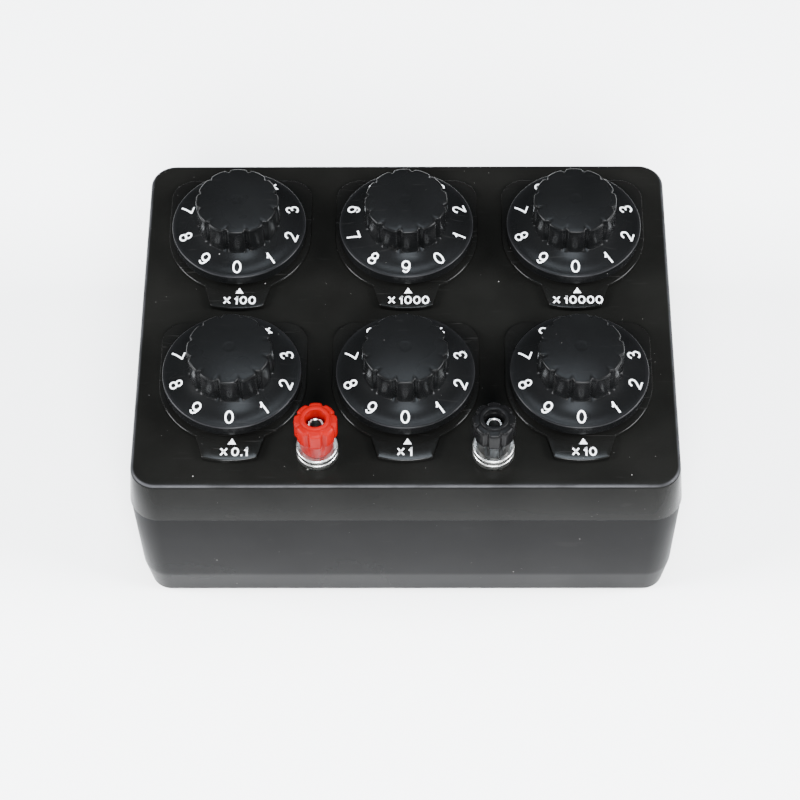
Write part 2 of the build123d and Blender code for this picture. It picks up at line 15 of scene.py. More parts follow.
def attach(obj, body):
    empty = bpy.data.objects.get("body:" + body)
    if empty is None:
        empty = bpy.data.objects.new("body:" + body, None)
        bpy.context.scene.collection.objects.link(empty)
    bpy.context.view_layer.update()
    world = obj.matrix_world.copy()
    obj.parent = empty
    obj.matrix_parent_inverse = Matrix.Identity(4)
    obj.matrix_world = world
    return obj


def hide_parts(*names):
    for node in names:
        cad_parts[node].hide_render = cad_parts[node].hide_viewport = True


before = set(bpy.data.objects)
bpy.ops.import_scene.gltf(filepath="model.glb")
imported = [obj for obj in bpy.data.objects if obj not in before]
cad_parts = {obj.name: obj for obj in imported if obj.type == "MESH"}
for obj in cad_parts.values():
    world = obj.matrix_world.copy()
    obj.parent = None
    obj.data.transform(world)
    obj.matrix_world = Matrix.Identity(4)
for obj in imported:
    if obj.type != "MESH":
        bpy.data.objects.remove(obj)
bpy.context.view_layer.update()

LOG = logging.getLogger("decade_box")
MM = 0.001
TAU = 2 * math.pi

# Places of the dials and posts on the panel, in millimetres, and the turn between two numbers
DIAL_PITCH = (64.0, 68.8)
FRONT_ROW = -30.1
POST_SIDE = 32.0
POST_ROW = -60.7
DIGIT_TURN = math.radians(36.0)

Mesh = bpy.types.Mesh
Material = bpy.types.Material
Socket = bpy.types.NodeSocket
Pair = tuple[float, float]
Triple = tuple[float, float, float]
Colour = Triple
Profile = list[Pair]


class Post(Enum):
    """The two binding posts: colour name and side of the box's middle."""

    RED = ("red", -1)
    BLACK = ("black", 1)


class Decade(Enum):
    """The six decades: node suffix, multiplier, column, row, number shown at rest and label offset in mm."""

    TENTHS = ("x0_1", "0.1", -1, 0, 0, 0.8)
    UNITS = ("x1", "1", 0, 0, 0, -1.1)
    TENS = ("x10", "10", 1, 0, 0, 0.1)
    HUNDREDS = ("x100", "100", -1, 1, 0, 0.0)
    THOUSANDS = ("x1000", "1000", 0, 1, 9, 0.0)
    TEN_THOUSANDS = ("x10000", "10000", 1, 1, 0, 0.0)

    @property
    def suffix(self) -> str:
        """End of the decade's node names."""
        return self.value[0]

    @property
    def multiplier(self) -> str:
        """Number printed after the times sign."""
        return self.value[1]

    @property
    def label_offset(self) -> float:
        """How far the printed label sits to the right of the pointer, in millimetres."""
        return self.value[5]

    @property
    def centre(self) -> Pair:
        """Dial axis on the panel plan, in millimetres."""
        return self.value[2] * DIAL_PITCH[0], FRONT_ROW + self.value[3] * DIAL_PITCH[1]

    @property
    def turn(self) -> float:
        """Angle of the dial at rest, in radians: clockwise raises the number."""
        return -DIGIT_TURN * self.value[4]


# Node graphs of the finishes


class Graph:
    """Small builder of a material's node tree round one Principled shader."""

    def __init__(self, name: str) -> None:
        """Starts an empty graph with its shader and output.

        Args:
            name: name of the material.
        """
        self.material = bpy.data.materials.new(name)
        self.material.use_nodes = True
        self.tree = self.material.node_tree
        self.tree.nodes.clear()
        self.shader = self.node("ShaderNodeBsdfPrincipled")
        output = self.node("ShaderNodeOutputMaterial")
        self.link(self.shader.outputs["BSDF"], output.inputs["Surface"])
        self.coordinates = self.node("ShaderNodeTexCoord").outputs["Object"]

    def node(self, kind: str, **values: object) -> bpy.types.Node:
        """Adds a node and sets its properties.

        Args:
            kind: Blender's type name of the node.
            values: properties to set on it.

        Returns:
            The new node.
        """
        made = self.tree.nodes.new(kind)
        for key, value in values.items():
            setattr(made, key, value)
        return made

    def link(self, source: Socket, target: Socket) -> None:
        """Joins two sockets."""
        self.tree.links.new(source, target)

    def placed(self, scale: Sequence[float], turn: float = 0.0) -> Socket:
        """Object coordinates, stretched and turned about Z.

        Args:
            scale: factors along X, Y and Z.
            turn: angle about Z, in radians.

        Returns:
            The vector socket.
        """
        mapping = self.node("ShaderNodeMapping")
        mapping.inputs["Scale"].default_value = scale
        mapping.inputs["Rotation"].default_value = (0.0, 0.0, turn)
        self.link(self.coordinates, mapping.inputs["Vector"])
        return mapping.outputs["Vector"]

    def noise(self, scale: float, detail: float = 4.0, vector: Socket | None = None) -> Socket:
        """Cloudy noise value.

        Args:
            scale: cells per metre.
            detail: octaves.
            vector: coordinates, or None for plain Object coordinates.

        Returns:
            The value socket, about 0.2 to 0.8.
        """
        made = self.node("ShaderNodeTexNoise")
        made.inputs["Scale"].default_value = scale
        made.inputs["Detail"].default_value = detail
        self.link(vector or self.coordinates, made.inputs["Vector"])
        return made.outputs["Fac"]

    def remap(self, value: Socket, source: Pair, target: Pair) -> Socket:
        """Clamped linear change of range.

        Args:
            value: the value socket.
            source: range read.
            target: range given.

        Returns:
            The remapped value socket.
        """
        made = self.node("ShaderNodeMapRange", clamp=True)
        made.inputs["From Min"].default_value, made.inputs["From Max"].default_value = source
        made.inputs["To Min"].default_value, made.inputs["To Max"].default_value = target
        self.link(value, made.inputs["Value"])
        return made.outputs["Result"]

    def math(self, operation: str, first: Socket, second: Socket | float) -> Socket:
        """One Math node.

        Args:
            operation: Blender's name of the operation.
            first: the first value.
            second: the second value, a socket or a number.

        Returns:
            The result socket.
        """
        made = self.node("ShaderNodeMath", operation=operation)
        self.link(first, made.inputs[0])
        if isinstance(second, (int, float)):
            made.inputs[1].default_value = second
        else:
            self.link(second, made.inputs[1])
        return made.outputs["Value"]

    def blend(self, share: Socket, first: Colour | Socket, second: Colour | Socket) -> Socket:
        """Colour between two others.

        Args:
            share: 0 for the first, 1 for the second.
            first: a colour or a colour socket.
            second: a colour or a colour socket.

        Returns:
            The colour socket.
        """
        made = self.node("ShaderNodeMix", data_type="RGBA")
        self.link(share, made.inputs["Factor"])
        for socket, given in ((made.inputs[6], first), (made.inputs[7], second)):
            if isinstance(given, tuple):
                socket.default_value = (*given, 1.0)
            else:
                self.link(given, socket)
        return made.outputs[2]

    def specks(self, cells: float, radius: float, share: float) -> Socket:
        """Mask of scattered round specks: the nearest cell point within a radius, in a share of the cells.

        Args:
            cells: cells per metre.
            radius: speck radius as a share of a cell.
            share: share of the cells that hold a speck.

        Returns:
            Value socket, 1 on a speck.
        """
        cell = self.node("ShaderNodeTexVoronoi")
        cell.inputs["Scale"].default_value = cells
        self.link(self.coordinates, cell.inputs["Vector"])
        split = self.node("ShaderNodeSeparateColor")
        self.link(cell.outputs["Color"], split.inputs["Color"])
        near = self.remap(cell.outputs["Distance"], (radius, radius * 0.6), (0.0, 1.0))
        chosen = self.math("GREATER_THAN", split.outputs[0], 1.0 - share)
        return self.math("MULTIPLY", near, chosen)

    def level_band(self, levels: Pair) -> Socket:
        """Mask of a painted highlight band on a rounded edge between two heights, broken into patches by
        noise.

        Args:
            levels: lower and upper height, in millimetres.

        Returns:
            Value socket, up to 1 inside the band.
        """
        split = self.node("ShaderNodeSeparateXYZ")
        self.link(self.coordinates, split.inputs["Vector"])
        low, high = (level * MM for level in levels)
        fade = 0.1 * MM
        above = self.remap(split.outputs["Z"], (low - fade, low + fade), (0.0, 1.0))
        below = self.remap(split.outputs["Z"], (high + fade, high - fade), (0.0, 1.0))
        patches = self.remap(self.noise(90.0, 3.0), (0.3, 0.6), (0.35, 1.0))
        return self.math("MULTIPLY", self.math("MULTIPLY", above, below), patches)

    def bump(self, height: Socket, depth: float) -> None:
        """Bumps the shader's surface.

        Args:
            height: height socket, 0 to 1.
            depth: depth of the full range, in metres.
        """
        made = self.node("ShaderNodeBump")
        made.inputs["Strength"].default_value = 1.0
        made.inputs["Distance"].default_value = depth
        self.link(height, made.inputs["Height"])
        self.link(made.outputs["Normal"], self.shader.inputs["Normal"])

    def colour(self, source: Socket) -> None:
        """Feeds the shader's base colour."""
        self.link(source, self.shader.inputs["Base Color"])

    def roughness(self, source: Socket) -> None:
        """Feeds the shader's roughness."""
        self.link(source, self.shader.inputs["Roughness"])


@dataclass(frozen=True)
class Finish:
    """Surface finish with a name and a tint; each kind paints its own node graph."""

    name: str
    tint: Colour

    def shade(self, factor: float) -> Colour:
        """The tint made darker or lighter by a factor."""
        return tuple(factor * part for part in self.tint)

    def paint(self, graph: Graph) -> None:
        """Joins the nodes of the finish to the shader.

        Args:
            graph: the empty graph of the material.
        """
        raise NotImplementedError

    def build(self) -> Material:
        """Makes the material.

        Returns:
            The new material.
        """
        graph = Graph(self.name)
        self.paint(graph)
        return graph.material


@dataclass(frozen=True)
class MouldedPlastic(Finish):
    """Injection-moulded plastic: mottled colour, uneven gloss, fine texture, dust specks, scuffs and an
    optional painted highlight band along a rounded edge.
    """

    gloss: Pair
    texture_depth: float = 0.000004
    texture_cells: float = 2600.0
    dust: float = 0.12
    dust_cells: float = 170.0
    dust_tint: Colour = (0.15, 0.145, 0.14)
    scuff: float = 0.25
    ior: float = 1.5
    worn_band: Pair | None = None
    worn_tint: Colour = (0.028, 0.028, 0.03)

    def paint(self, graph: Graph) -> None:
        """Joins the nodes of the finish to the shader."""
        graph.shader.inputs["IOR"].default_value = self.ior
        cloud = graph.remap(graph.noise(38.0), (0.3, 0.7), (0.0, 1.0))
        body = graph.blend(cloud, self.shade(0.8), self.shade(1.25))
        dust = graph.specks(self.dust_cells, 0.05, self.dust)
        fine_dust = graph.specks(self.dust_cells * 3.1, 0.06, self.dust * 0.6)
        dirt = graph.math("MAXIMUM", dust, fine_dust)
        scratch = graph.noise(70.0, 3.0, graph.placed((1.0, 14.0, 3.0), 0.5))
        streak = graph.remap(scratch, (0.66, 0.72), (0.0, self.scuff))
        scuffed_and_highlit = graph.blend(graph.math("MULTIPLY", streak, 0.12), body, self.dust_tint)
        # Painted highlight: a lighter tint on a band of heights along a rounded edge stands in for the glint
        # of light there.
        if self.worn_band is not None:
            scuffed_and_highlit = graph.blend(graph.level_band(self.worn_band), scuffed_and_highlit, self.worn_tint)
        graph.colour(graph.blend(dirt, scuffed_and_highlit, self.dust_tint))
        haze = graph.remap(graph.noise(16.0, 5.0), (0.35, 0.65), self.gloss)
        graph.roughness(graph.math("MAXIMUM", haze, graph.math("MULTIPLY", streak, 0.5)))
        graph.bump(graph.noise(self.texture_cells, 2.0), self.texture_depth)


@dataclass(frozen=True)
class Metal(Finish):
    """Plated or drawn metal: slight colour drift, directional or cloudy roughness and fine marks."""

    gloss: Pair
    grain: Triple = (1.0, 1.0, 1.0)
    grain_cells: float = 900.0
    grain_depth: float = 0.000002

    def paint(self, graph: Graph) -> None:
        """Joins the nodes of the finish to the shader."""
        graph.shader.inputs["Metallic"].default_value = 1.0
        cloud = graph.remap(graph.noise(120.0), (0.3, 0.7), (0.0, 1.0))
        graph.colour(graph.blend(cloud, self.shade(0.86), self.tint))
        grain = graph.noise(self.grain_cells, 3.0, graph.placed(self.grain))
        graph.roughness(graph.remap(grain, (0.3, 0.7), self.gloss))
        graph.bump(grain, self.grain_depth)


@dataclass(frozen=True)
class Ink(Finish):
    """Printed ink: near flat, with faint thin spots."""

    def paint(self, graph: Graph) -> None:
        """Joins the nodes of the finish to the shader."""
        thin = graph.remap(graph.noise(1400.0), (0.58, 0.75), (0.0, 0.35))
        graph.colour(graph.blend(thin, self.tint, self.shade(0.55)))
        graph.roughness(graph.remap(graph.noise(600.0), (0.3, 0.7), (0.35, 0.6)))


@dataclass(frozen=True)
class WoundCard(Finish):
    """Insulating card wound with resistance wire of the tint: fine bands across Z and a varnish gloss."""

    varnish: Colour
    turns_per_metre: float = 900.0
    wire_relief: float = 0.00008

    def paint(self, graph: Graph) -> None:
        """Joins the nodes of the finish to the shader."""
        bands = graph.node("ShaderNodeTexWave", wave_type="BANDS", bands_direction="Z")
        bands.inputs["Scale"].default_value = self.turns_per_metre / TAU
        bands.inputs["Distortion"].default_value = 0.4
        graph.link(graph.coordinates, bands.inputs["Vector"])
        graph.colour(graph.blend(bands.outputs["Fac"], self.varnish, self.tint))
        graph.roughness(graph.remap(graph.noise(300.0), (0.3, 0.7), (0.25, 0.45)))
        graph.bump(bands.outputs["Fac"], self.wire_relief)


FINISHES = {
    "cover_plastic": MouldedPlastic(
        "moulded_black_cover", (0.0034, 0.0034, 0.0031), (0.12, 0.22), dust=0.2, scuff=0.1, ior=1.09,
        # the band at 75.3 to 75.9 mm is a painted highlight along the lid's top bead
        worn_band=(75.3, 75.9),
    ),
    "case_plastic": MouldedPlastic(
        "moulded_black_case", (0.0034, 0.0034, 0.0035), (0.24, 0.38), scuff=0.1, ior=1.1
    ),
    "plate_plastic": MouldedPlastic("moulded_black_plate", (0.003, 0.003, 0.0028), (0.12, 0.2), ior=1.22),
    "knob_plastic": MouldedPlastic(
        "moulded_black_knob", (0.0026, 0.0027, 0.0028), (0.24, 0.33), texture_depth=0.000008, dust=0.05,
        # the band at 84.5 to 84.93 mm and its lighter tint are a painted highlight along the dial rims
        scuff=0.15, ior=1.16, worn_band=(84.5, 84.93), worn_tint=(0.011, 0.011, 0.012),
    ),
    "legend_white": Ink("printed_white", (0.74, 0.75, 0.76)),
    "foot_rubber": MouldedPlastic(
        "foot_rubber", (0.012, 0.012, 0.012), (0.7, 0.9), texture_depth=0.00004, texture_cells=900.0
    ),
    "plated_steel": Metal("zinc_plated_steel", (0.62, 0.62, 0.6), (0.22, 0.4)),
    "spring_steel": Metal("tempered_strip", (0.38, 0.38, 0.4), (0.2, 0.35), (1.0, 12.0, 1.0)),
    "wheel_plastic": MouldedPlastic("natural_acetal", (0.62, 0.6, 0.55), (0.35, 0.5), dust=0.0, scuff=0.1),
    "brass": Metal("turned_brass", (0.72, 0.53, 0.26), (0.18, 0.34)),
    "contact_brass": Metal("stamped_brass", (0.75, 0.58, 0.32), (0.16, 0.3), (1.0, 10.0, 1.0)),
    "laminate": MouldedPlastic(
        "paper_laminate", (0.2, 0.1, 0.045), (0.3, 0.45), texture_depth=0.00001, dust=0.02, scuff=0.3
    ),
    "resistor_card": WoundCard("wound_card", (0.3, 0.2, 0.1), (0.05, 0.06, 0.045)),
    "tinned_strap": Metal("tinned_copper", (0.68, 0.66, 0.62), (0.3, 0.48), (1.0, 1.0, 8.0)),
    "post_chrome": Metal("bright_plating", (0.5, 0.5, 0.485), (0.24, 0.36), grain_cells=500.0),
    "red_cap_plastic": MouldedPlastic(
        "moulded_red", (0.125, 0.0008, 0.0007), (0.26, 0.38), dust_tint=(0.2, 0.03, 0.02), dust=0.02, ior=1.13
    ),
    "black_cap_plastic": MouldedPlastic(
        "moulded_black_cap", (0.0026, 0.0026, 0.0027), (0.24, 0.34), dust=0.02, ior=1.13
    ),
}


class FinishBook:
    """Materials by slot, each made the first time it is asked for."""

    def __init__(self) -> None:
        """Starts with no material made."""
        self.made: dict[str, Material] = {}

    def material(self, slot: str) -> Material:
        """Material of a record slot.

        Args:
            slot: name of the slot.

        Returns:
            Its material.
        """
        if slot not in self.made:
            self.made[slot] = FINISHES[slot].build()
        return self.made[slot]


# Surfaces worked out as whole arrays


def ring_faces(rows: int, columns: int) -> np.ndarray:
    """Quads between neighbouring rows of a grid whose rows are closed rings.

    Args:
        rows: number of rings.
        columns: points on each ring.

    Returns:
        One row of four point numbers for each quad.
    """
    row = np.arange(rows - 1)[:, None] * columns
    here = np.arange(columns)[None, :]
    following = (here + 1) % columns
    quads = np.stack([row + here, row + following, row + columns + following, row + columns + here], axis=-1)
    return quads.reshape(-1, 4)


def arc(centre: Pair, radius: float, start: float, end: float, steps: int) -> Profile:
    """Points on a circular arc: centre plus radius times (cos, sin) of an angle that runs evenly.

    Args:
        centre: middle of the arc.
        radius: its radius.
        start: first angle in degrees.
        end: last angle in degrees.
        steps: number of chords.

    Returns:
        The points, both ends included.
    """
    angles = np.radians(np.linspace(start, end, steps + 1))
    across = centre[0] + radius * np.cos(angles)
    up = centre[1] + radius * np.sin(angles)
    return list(zip(across.tolist(), up.tolist()))


def inset_arc(inset: float, level: float, radius: float, start: float, end: float, steps: int) -> Profile:
    """Arc of an (inset, height) profile, where a smaller inset lies further out; otherwise as arc."""
    return [(inset - x, level + y) for x, y in arc((0.0, 0.0), radius, start, end, steps)]


def revolved(profile: Profile, columns: int, radius_of: Callable | None = None) -> np.ndarray:
    """Profile turned about Z: point = (r cos a, r sin a, z), with r changed by a function of the angle.

    Args:
        profile: (radius, height) points in millimetres.
        columns: points round the axis.
        radius_of: optional function of (radius, height, angle) arrays that gives the radius.

    Returns:
        Array of rows by columns by three, in metres.
    """
    outline = np.array(profile)
    angle = np.linspace(0.0, TAU, columns, endpoint=False)[None, :]
    radius = np.repeat(outline[:, :1], columns, axis=1)
    height = np.repeat(outline[:, 1:], columns, axis=1)
    if radius_of is not None:
        radius = radius_of(radius, height, angle)
    return np.stack([radius * np.cos(angle), radius * np.sin(angle), height], axis=-1) * MM


@dataclass(frozen=True)
class Grooves:
    """Even grooves round an axis, each a raised cosine of the angle from its middle."""

    count: int
    depth: float
    half_angle: float

    def offset(self, angle: np.ndarray) -> np.ndarray:
        """Angle from the nearest groove's middle, in radians."""
        pitch = TAU / self.count
        return np.abs((angle % pitch) - pitch / 2)

    def cut(self, angle: np.ndarray) -> np.ndarray:
        """Depth of the grooves at each angle, in millimetres."""
        offset = self.offset(angle)
        half = math.radians(self.half_angle)
        return self.depth * np.where(offset < half, np.cos(offset / half * math.pi / 2) ** 2, 0.0)


@dataclass(frozen=True)
class PanelPath:
    """Rounded rectangle of the case: straight sides and quarter arcs, moved inwards by an inset."""

    half_x: float = 100.0
    half_y: float = 75.25
    corner: float = 9.5
    corner_steps: int = 14
    side_steps: int = 10

    def ring(self, inset: float) -> np.ndarray:
        """Closed ring of the path: each corner's arc, then the side to the next corner in even steps.

        Args:
            inset: distance inwards, in millimetres.

        Returns:
            Points by two, in millimetres.
        """
        radius = max(self.corner - inset, 0.0)
        reach_x = self.half_x - inset - radius
        reach_y = self.half_y - inset - radius
        quarter = np.radians(np.linspace(0.0, 90.0, self.corner_steps + 1))
        arcs = [
            np.stack([cx + radius * np.cos(quarter + turn), cy + radius * np.sin(quarter + turn)], axis=-1)
            for cx, cy, turn in (
                (reach_x, reach_y, 0.0),
                (-reach_x, reach_y, TAU / 4),
                (-reach_x, -reach_y, TAU / 2),
                (reach_x, -reach_y, 3 * TAU / 4),
            )
        ]
        share = np.linspace(0.0, 1.0, self.side_steps + 1)[1:-1, None]
        runs = []
        for number in range(4):
            start, end = arcs[number][-1], arcs[(number + 1) % 4][0]
            runs += [arcs[number], start + (end - start) * share]
        return np.concatenate(runs)

    def carried(self, profile: Profile) -> np.ndarray:
        """Surface of an (inset, height) profile carried round the path, closed at both ends to the middle.

        Args:
            profile: (inset, height) points in millimetres, from one closed end to the other.

        Returns:
            Array of rows by columns by three, in metres.
        """
        rings = [self.ring(inset) for inset, _ in profile]
        heights = [height for _, height in profile]
        first = [(rings[0] * share, heights[0]) for share in (0.0, 0.35, 0.7)]
        last = [(rings[-1] * share, heights[-1]) for share in (0.7, 0.35, 0.0)]
        rows = first + list(zip(rings, heights)) + last
        return np.stack([np.column_stack([plan, np.full(len(plan), height)]) for plan, height in rows]) * MM


class Workshop:
    """Turns arrays into finished pieces that ride on a body."""

    def __init__(self, finishes: FinishBook) -> None:
        """Keeps the finishes at hand.

        Args:
            finishes: the materials by slot.
        """
        self.finishes = finishes

    def mesh(self, name: str, points: np.ndarray, faces: np.ndarray | list) -> Mesh:
        """Closed mesh with its doubles merged and its faces pointing outwards.

        Args:
            name: name of the mesh.
            points: points by three, in metres.
            faces: point numbers of each face.

        Returns:
            The new mesh.
        """
        made = bpy.data.meshes.new(name)
        rows = faces.tolist() if isinstance(faces, np.ndarray) else faces
        made.from_pydata(points.reshape(-1, 3).tolist(), [], rows)
        work = bmesh.new()
        work.from_mesh(made)
        bmesh.ops.remove_doubles(work, verts=work.verts, dist=1e-7)
        bmesh.ops.recalc_face_normals(work, faces=work.faces)
        work.to_mesh(made)
        work.free()
        return made

    def shell(self, name: str, surface: np.ndarray) -> Mesh:
        """Mesh of a grid of closed rings.

        Args:
            name: name of the mesh.
            surface: rows by columns by three, in metres.

        Returns:
            The new mesh.
        """
        return self.mesh(name, surface, ring_faces(*surface.shape[:2]))

    def cut(self, made: Mesh, tool: Mesh) -> Mesh:
        """Mesh with the tool's volume taken away.

        Args:
            made: the mesh that is cut.
            tool: the mesh that cuts.

        Returns:
            A new mesh.
        """
        blank = bpy.data.objects.new("blank", made)
        cutter = bpy.data.objects.new("cutter", tool)
        for item in (blank, cutter):
            bpy.context.scene.collection.objects.link(item)
        step = blank.modifiers.new("cut", "BOOLEAN")
        step.operation = "DIFFERENCE"
        step.solver = "EXACT"
        step.object = cutter
        shaped = bpy.data.meshes.new_from_object(blank.evaluated_get(bpy.context.evaluated_depsgraph_get()))
        for item in (blank, cutter):
            bpy.data.objects.remove(item)
        return shaped

    def rods(self, places: Sequence[Pair], radius: float, low: float, high: float) -> Mesh:
        """Mesh of several upright cylinders, used to cut holes.

        Args:
            places: plan centres in millimetres.
            radius: radius in millimetres.
            low: bottom level in millimetres.
            high: top level in millimetres.

        Returns:
            The new mesh.
        """
        rod = revolved([(0.0, low), (radius, low), (radius, high), (0.0, high)], 48)
        shifts = np.array([[x, y, 0.0] for x, y in places]) * MM
        points = (rod[None] + shifts[:, None, None, :]).reshape(-1, 3)
        faces = ring_faces(*rod.shape[:2])
        stacked = np.concatenate([faces + number * rod[..., 0].size for number in range(len(places))])
        return self.mesh("rods", points, stacked)

    def drilled(self, made: Mesh, places: Sequence[Pair], radius: float, low: float, high: float) -> Mesh:
        """Mesh with upright round holes cut by rods at the given places."""
        return self.cut(made, self.rods(places, radius, low, high))

    def piece(
        self,
        name: str,
        made: Mesh,
        slot: str,
        body: str,
        nodes: Sequence[str] = (),
        sharp: float = 32.0,
    ) -> bpy.types.Object:
        """Puts a mesh into the scene as a finished piece.

        Args:
            name: name of the piece.
            made: its mesh, in place.
            slot: record slot of its finish.
            body: body that it rides on.
            nodes: CAD nodes that it stands for.
            sharp: edges that turn more than this angle in degrees stay sharp.

        Returns:
            The new object.
        """
        made.materials.clear()
        made.materials.append(self.finishes.material(slot))
        made.polygons.foreach_set("use_smooth", np.ones(len(made.polygons), dtype=bool))
        made.set_sharp_from_angle(angle=math.radians(sharp))
        item = bpy.data.objects.new(name, made)
        bpy.context.scene.collection.objects.link(item)
        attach(item, body)
        if nodes:
            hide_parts(*nodes)
        LOG.info("piece %s: %d faces, finish %s, body %s", name, len(made.polygons), slot, body)
        return item

    def put(
        self,
        name: str,
        made: Mesh,
        place: Pair,
        slot: str,
        body: str,
        nodes: Sequence[str] = (),
        turn: float = 0.0,
    ) -> None:
        """Puts a copy of a mesh into the scene as a piece, turned about Z and moved to a plan position.

        Args:
            name: name of the piece.
            made: the mesh at the origin.
            place: plan position in millimetres.
            slot: record slot of its finish.
            body: body that it rides on.
            nodes: CAD nodes that it stands for.
            turn: angle in radians.
        """
        twin = made.copy()
        twin.name = name
        shift = Matrix.Translation((place[0] * MM, place[1] * MM, 0.0))
        twin.transform(shift @ Matrix.Rotation(turn, 4, "Z"))
        self.piece(name, twin, slot, body, nodes)


# Ink on the panel and dials, in millimetres
PRINT_THICKNESS = 0.04
PRINT_LIFT = 0.005


def curve_run(centre: Pair, radii: Pair, start: float, end: float) -> Profile:
    """Points on an upright ellipse: centre plus the radii times (cos, sin) of an angle in degrees."""
    angles = np.radians(np.linspace(start, end, 2 + int(abs(end - start) / 12)))
    return list(zip(centre[0] + radii[0] * np.cos(angles), centre[1] + radii[1] * np.sin(angles)))


# Strokes of each character, on a box from -1 to 1 both ways. A stroke whose ends meet is a closed loop.
SIX = [
    curve_run((0.0, -0.36), (1.0, 0.64), 0, 360),
    curve_run((0.1, -0.34), (1.1, 1.34), 180, 55),
]
STROKES: dict[str, list[Profile]] = {
    "0": [curve_run((0.0, 0.0), (1.0, 1.0), 0, 360)],
    "1": [[(0.55, -1.0), (0.55, 1.0)], [(0.55, 0.93), (-0.1, 0.6), (-0.75, 0.42)]],
    "2": [curve_run((0.0, 0.42), (0.95, 0.58), 170, -38) + [(-0.95, -0.93)], [(-1.0, -1.0), (1.0, -1.0)]],
    "3": [
        curve_run((-0.08, 0.5), (0.9, 0.5), 155, -90),
        curve_run((-0.08, -0.48), (1.06, 0.52), 90, -155),
    ],
    "4": [[(0.35, 0.95), (-0.95, -0.4)], [(-1.0, -0.45), (1.0, -0.45)], [(0.42, 1.0), (0.42, -1.0)]],
    "5": [
        [(-0.62, 1.0), (0.9, 1.0)],
        [(-0.66, 1.0), (-0.86, 0.0)],
        curve_run((-0.06, -0.36), (1.05, 0.64), 142, -152),
    ],
    "6": SIX,
    "7": [[(-1.0, 1.0), (1.0, 1.0)], [(0.95, 0.98), (0.3, 0.2), (-0.1, -0.4), (-0.3, -1.0)]],
    "8": [curve_run((0.0, 0.5), (0.84, 0.5), 0, 360), curve_run((0.0, -0.46), (1.0, 0.54), 0, 360)],
    "9": [[(-x, -y) for x, y in stroke] for stroke in SIX],
    "×": [[(-0.68, -0.76), (0.68, 0.76)], [(-0.68, 0.76), (0.68, -0.76)]],
    ".": [[(0.0, -1.0), (0.0, -0.98)]],
}


@dataclass(frozen=True)
class Lettering:
    """Sans numerals drawn with strokes of one width, printed as thin solid ink."""

    width: float
    height: float
    stroke: float
    gap: float = 0.5
    narrow: float = 0.55
    point: float = 0.3
    sign: float = 1.2
    sign_gap: float = 0.6

    def breadth(self, character: str) -> float:
        """Width of one character in millimetres: the one and the point are narrower, the sign wider."""
        return self.width * {"1": self.narrow, ".": self.point, "×": self.sign}.get(character, 1.0)

    def ribbon(self, line: np.ndarray, closed: bool) -> tuple[np.ndarray, np.ndarray]:
        """Solid band along a line: each point moved by half the stroke along its normal, at two levels.

        Args:
            line: points by two, in millimetres.
            closed: whether the last point repeats the first.

        Returns:
            Points by three in millimetres, and the quads.
        """
        half = self.stroke / 2
        if closed:
            line = line[:-1]
            run = np.roll(line, -1, axis=0) - np.roll(line, 1, axis=0)
        else:
            first = line[0] - line[1]
            last = line[-1] - line[-2]
            line = line.copy()
            line[0] += first / np.linalg.norm(first) * half
            line[-1] += last / np.linalg.norm(last) * half
            run = np.gradient(line, axis=0)
        run /= np.linalg.norm(run, axis=1, keepdims=True)
        normal = np.column_stack([-run[:, 1], run[:, 0]]) * half
        low = np.full(len(line), -PRINT_THICKNESS / 2)
        corners = [(line - normal, low), (line + normal, low), (line + normal, -low), (line - normal, -low)]
        grid = np.stack([np.column_stack([plan, level]) for plan, level in corners], axis=1)
        count = len(line)
        across = np.arange(4)
        rows = np.arange(count if closed else count - 1)[:, None]
        following = (rows + 1) % count
        beside = (across + 1) % 4
        quads = np.stack(
            [rows * 4 + across, rows * 4 + beside, following * 4 + beside, following * 4 + across], axis=-1
        ).reshape(-1, 4)
        if not closed:
            quads = np.concatenate([quads, [[3, 2, 1, 0]], [across + 4 * (count - 1)]])
        return grid.reshape(-1, 3), quads

    def drawn(self, shop: Workshop, name: str, text: str) -> Mesh:
        """Mesh of a text centred on the origin, each character's box inset by half a stroke.

        Args:
            shop: the workshop that makes meshes.
            name: name of the mesh.
            text: the characters.

        Returns:
            The new mesh, in metres.
        """
        widths = [self.breadth(character) for character in text]
        gaps = [self.gap + (self.sign_gap if character == "×" else 0.0) for character in text[:-1]] + [0.0]
        left = -(sum(widths) + sum(gaps)) / 2
        points, quads, used = [], [], 0
        for character, width, gap in zip(text, widths, gaps):
            reach = np.array([max(width - self.stroke, 0.0), self.height - self.stroke]) / 2
            middle = np.array([left + width / 2, 0.0])
            left += width + gap
            for stroke in STROKES[character]:
                line = np.array(stroke) * reach + middle
                closed = bool(np.linalg.norm(line[0] - line[-1]) < 1e-6)
                grid, faces = self.ribbon(line, closed)
                points.append(grid)
                quads.append(faces + used)
                used += len(grid)
        return shop.mesh(name, np.concatenate(points) * MM, np.concatenate(quads))


def lay(made: Mesh, place: Callable[[np.ndarray], np.ndarray]) -> Mesh:
    """Moves every point of a mesh by a function of whole arrays.

    Args:
        made: the mesh.
        place: function from points by three to points by three, in metres.

    Returns:
        The same mesh.
    """
    points = np.zeros(len(made.vertices) * 3, np.float32)
    made.vertices.foreach_get("co", points)
    placed = place(points.reshape(-1, 3).astype(float))
    made.vertices.foreach_set("co", placed.astype(np.float32).ravel())
    made.update()
    return made


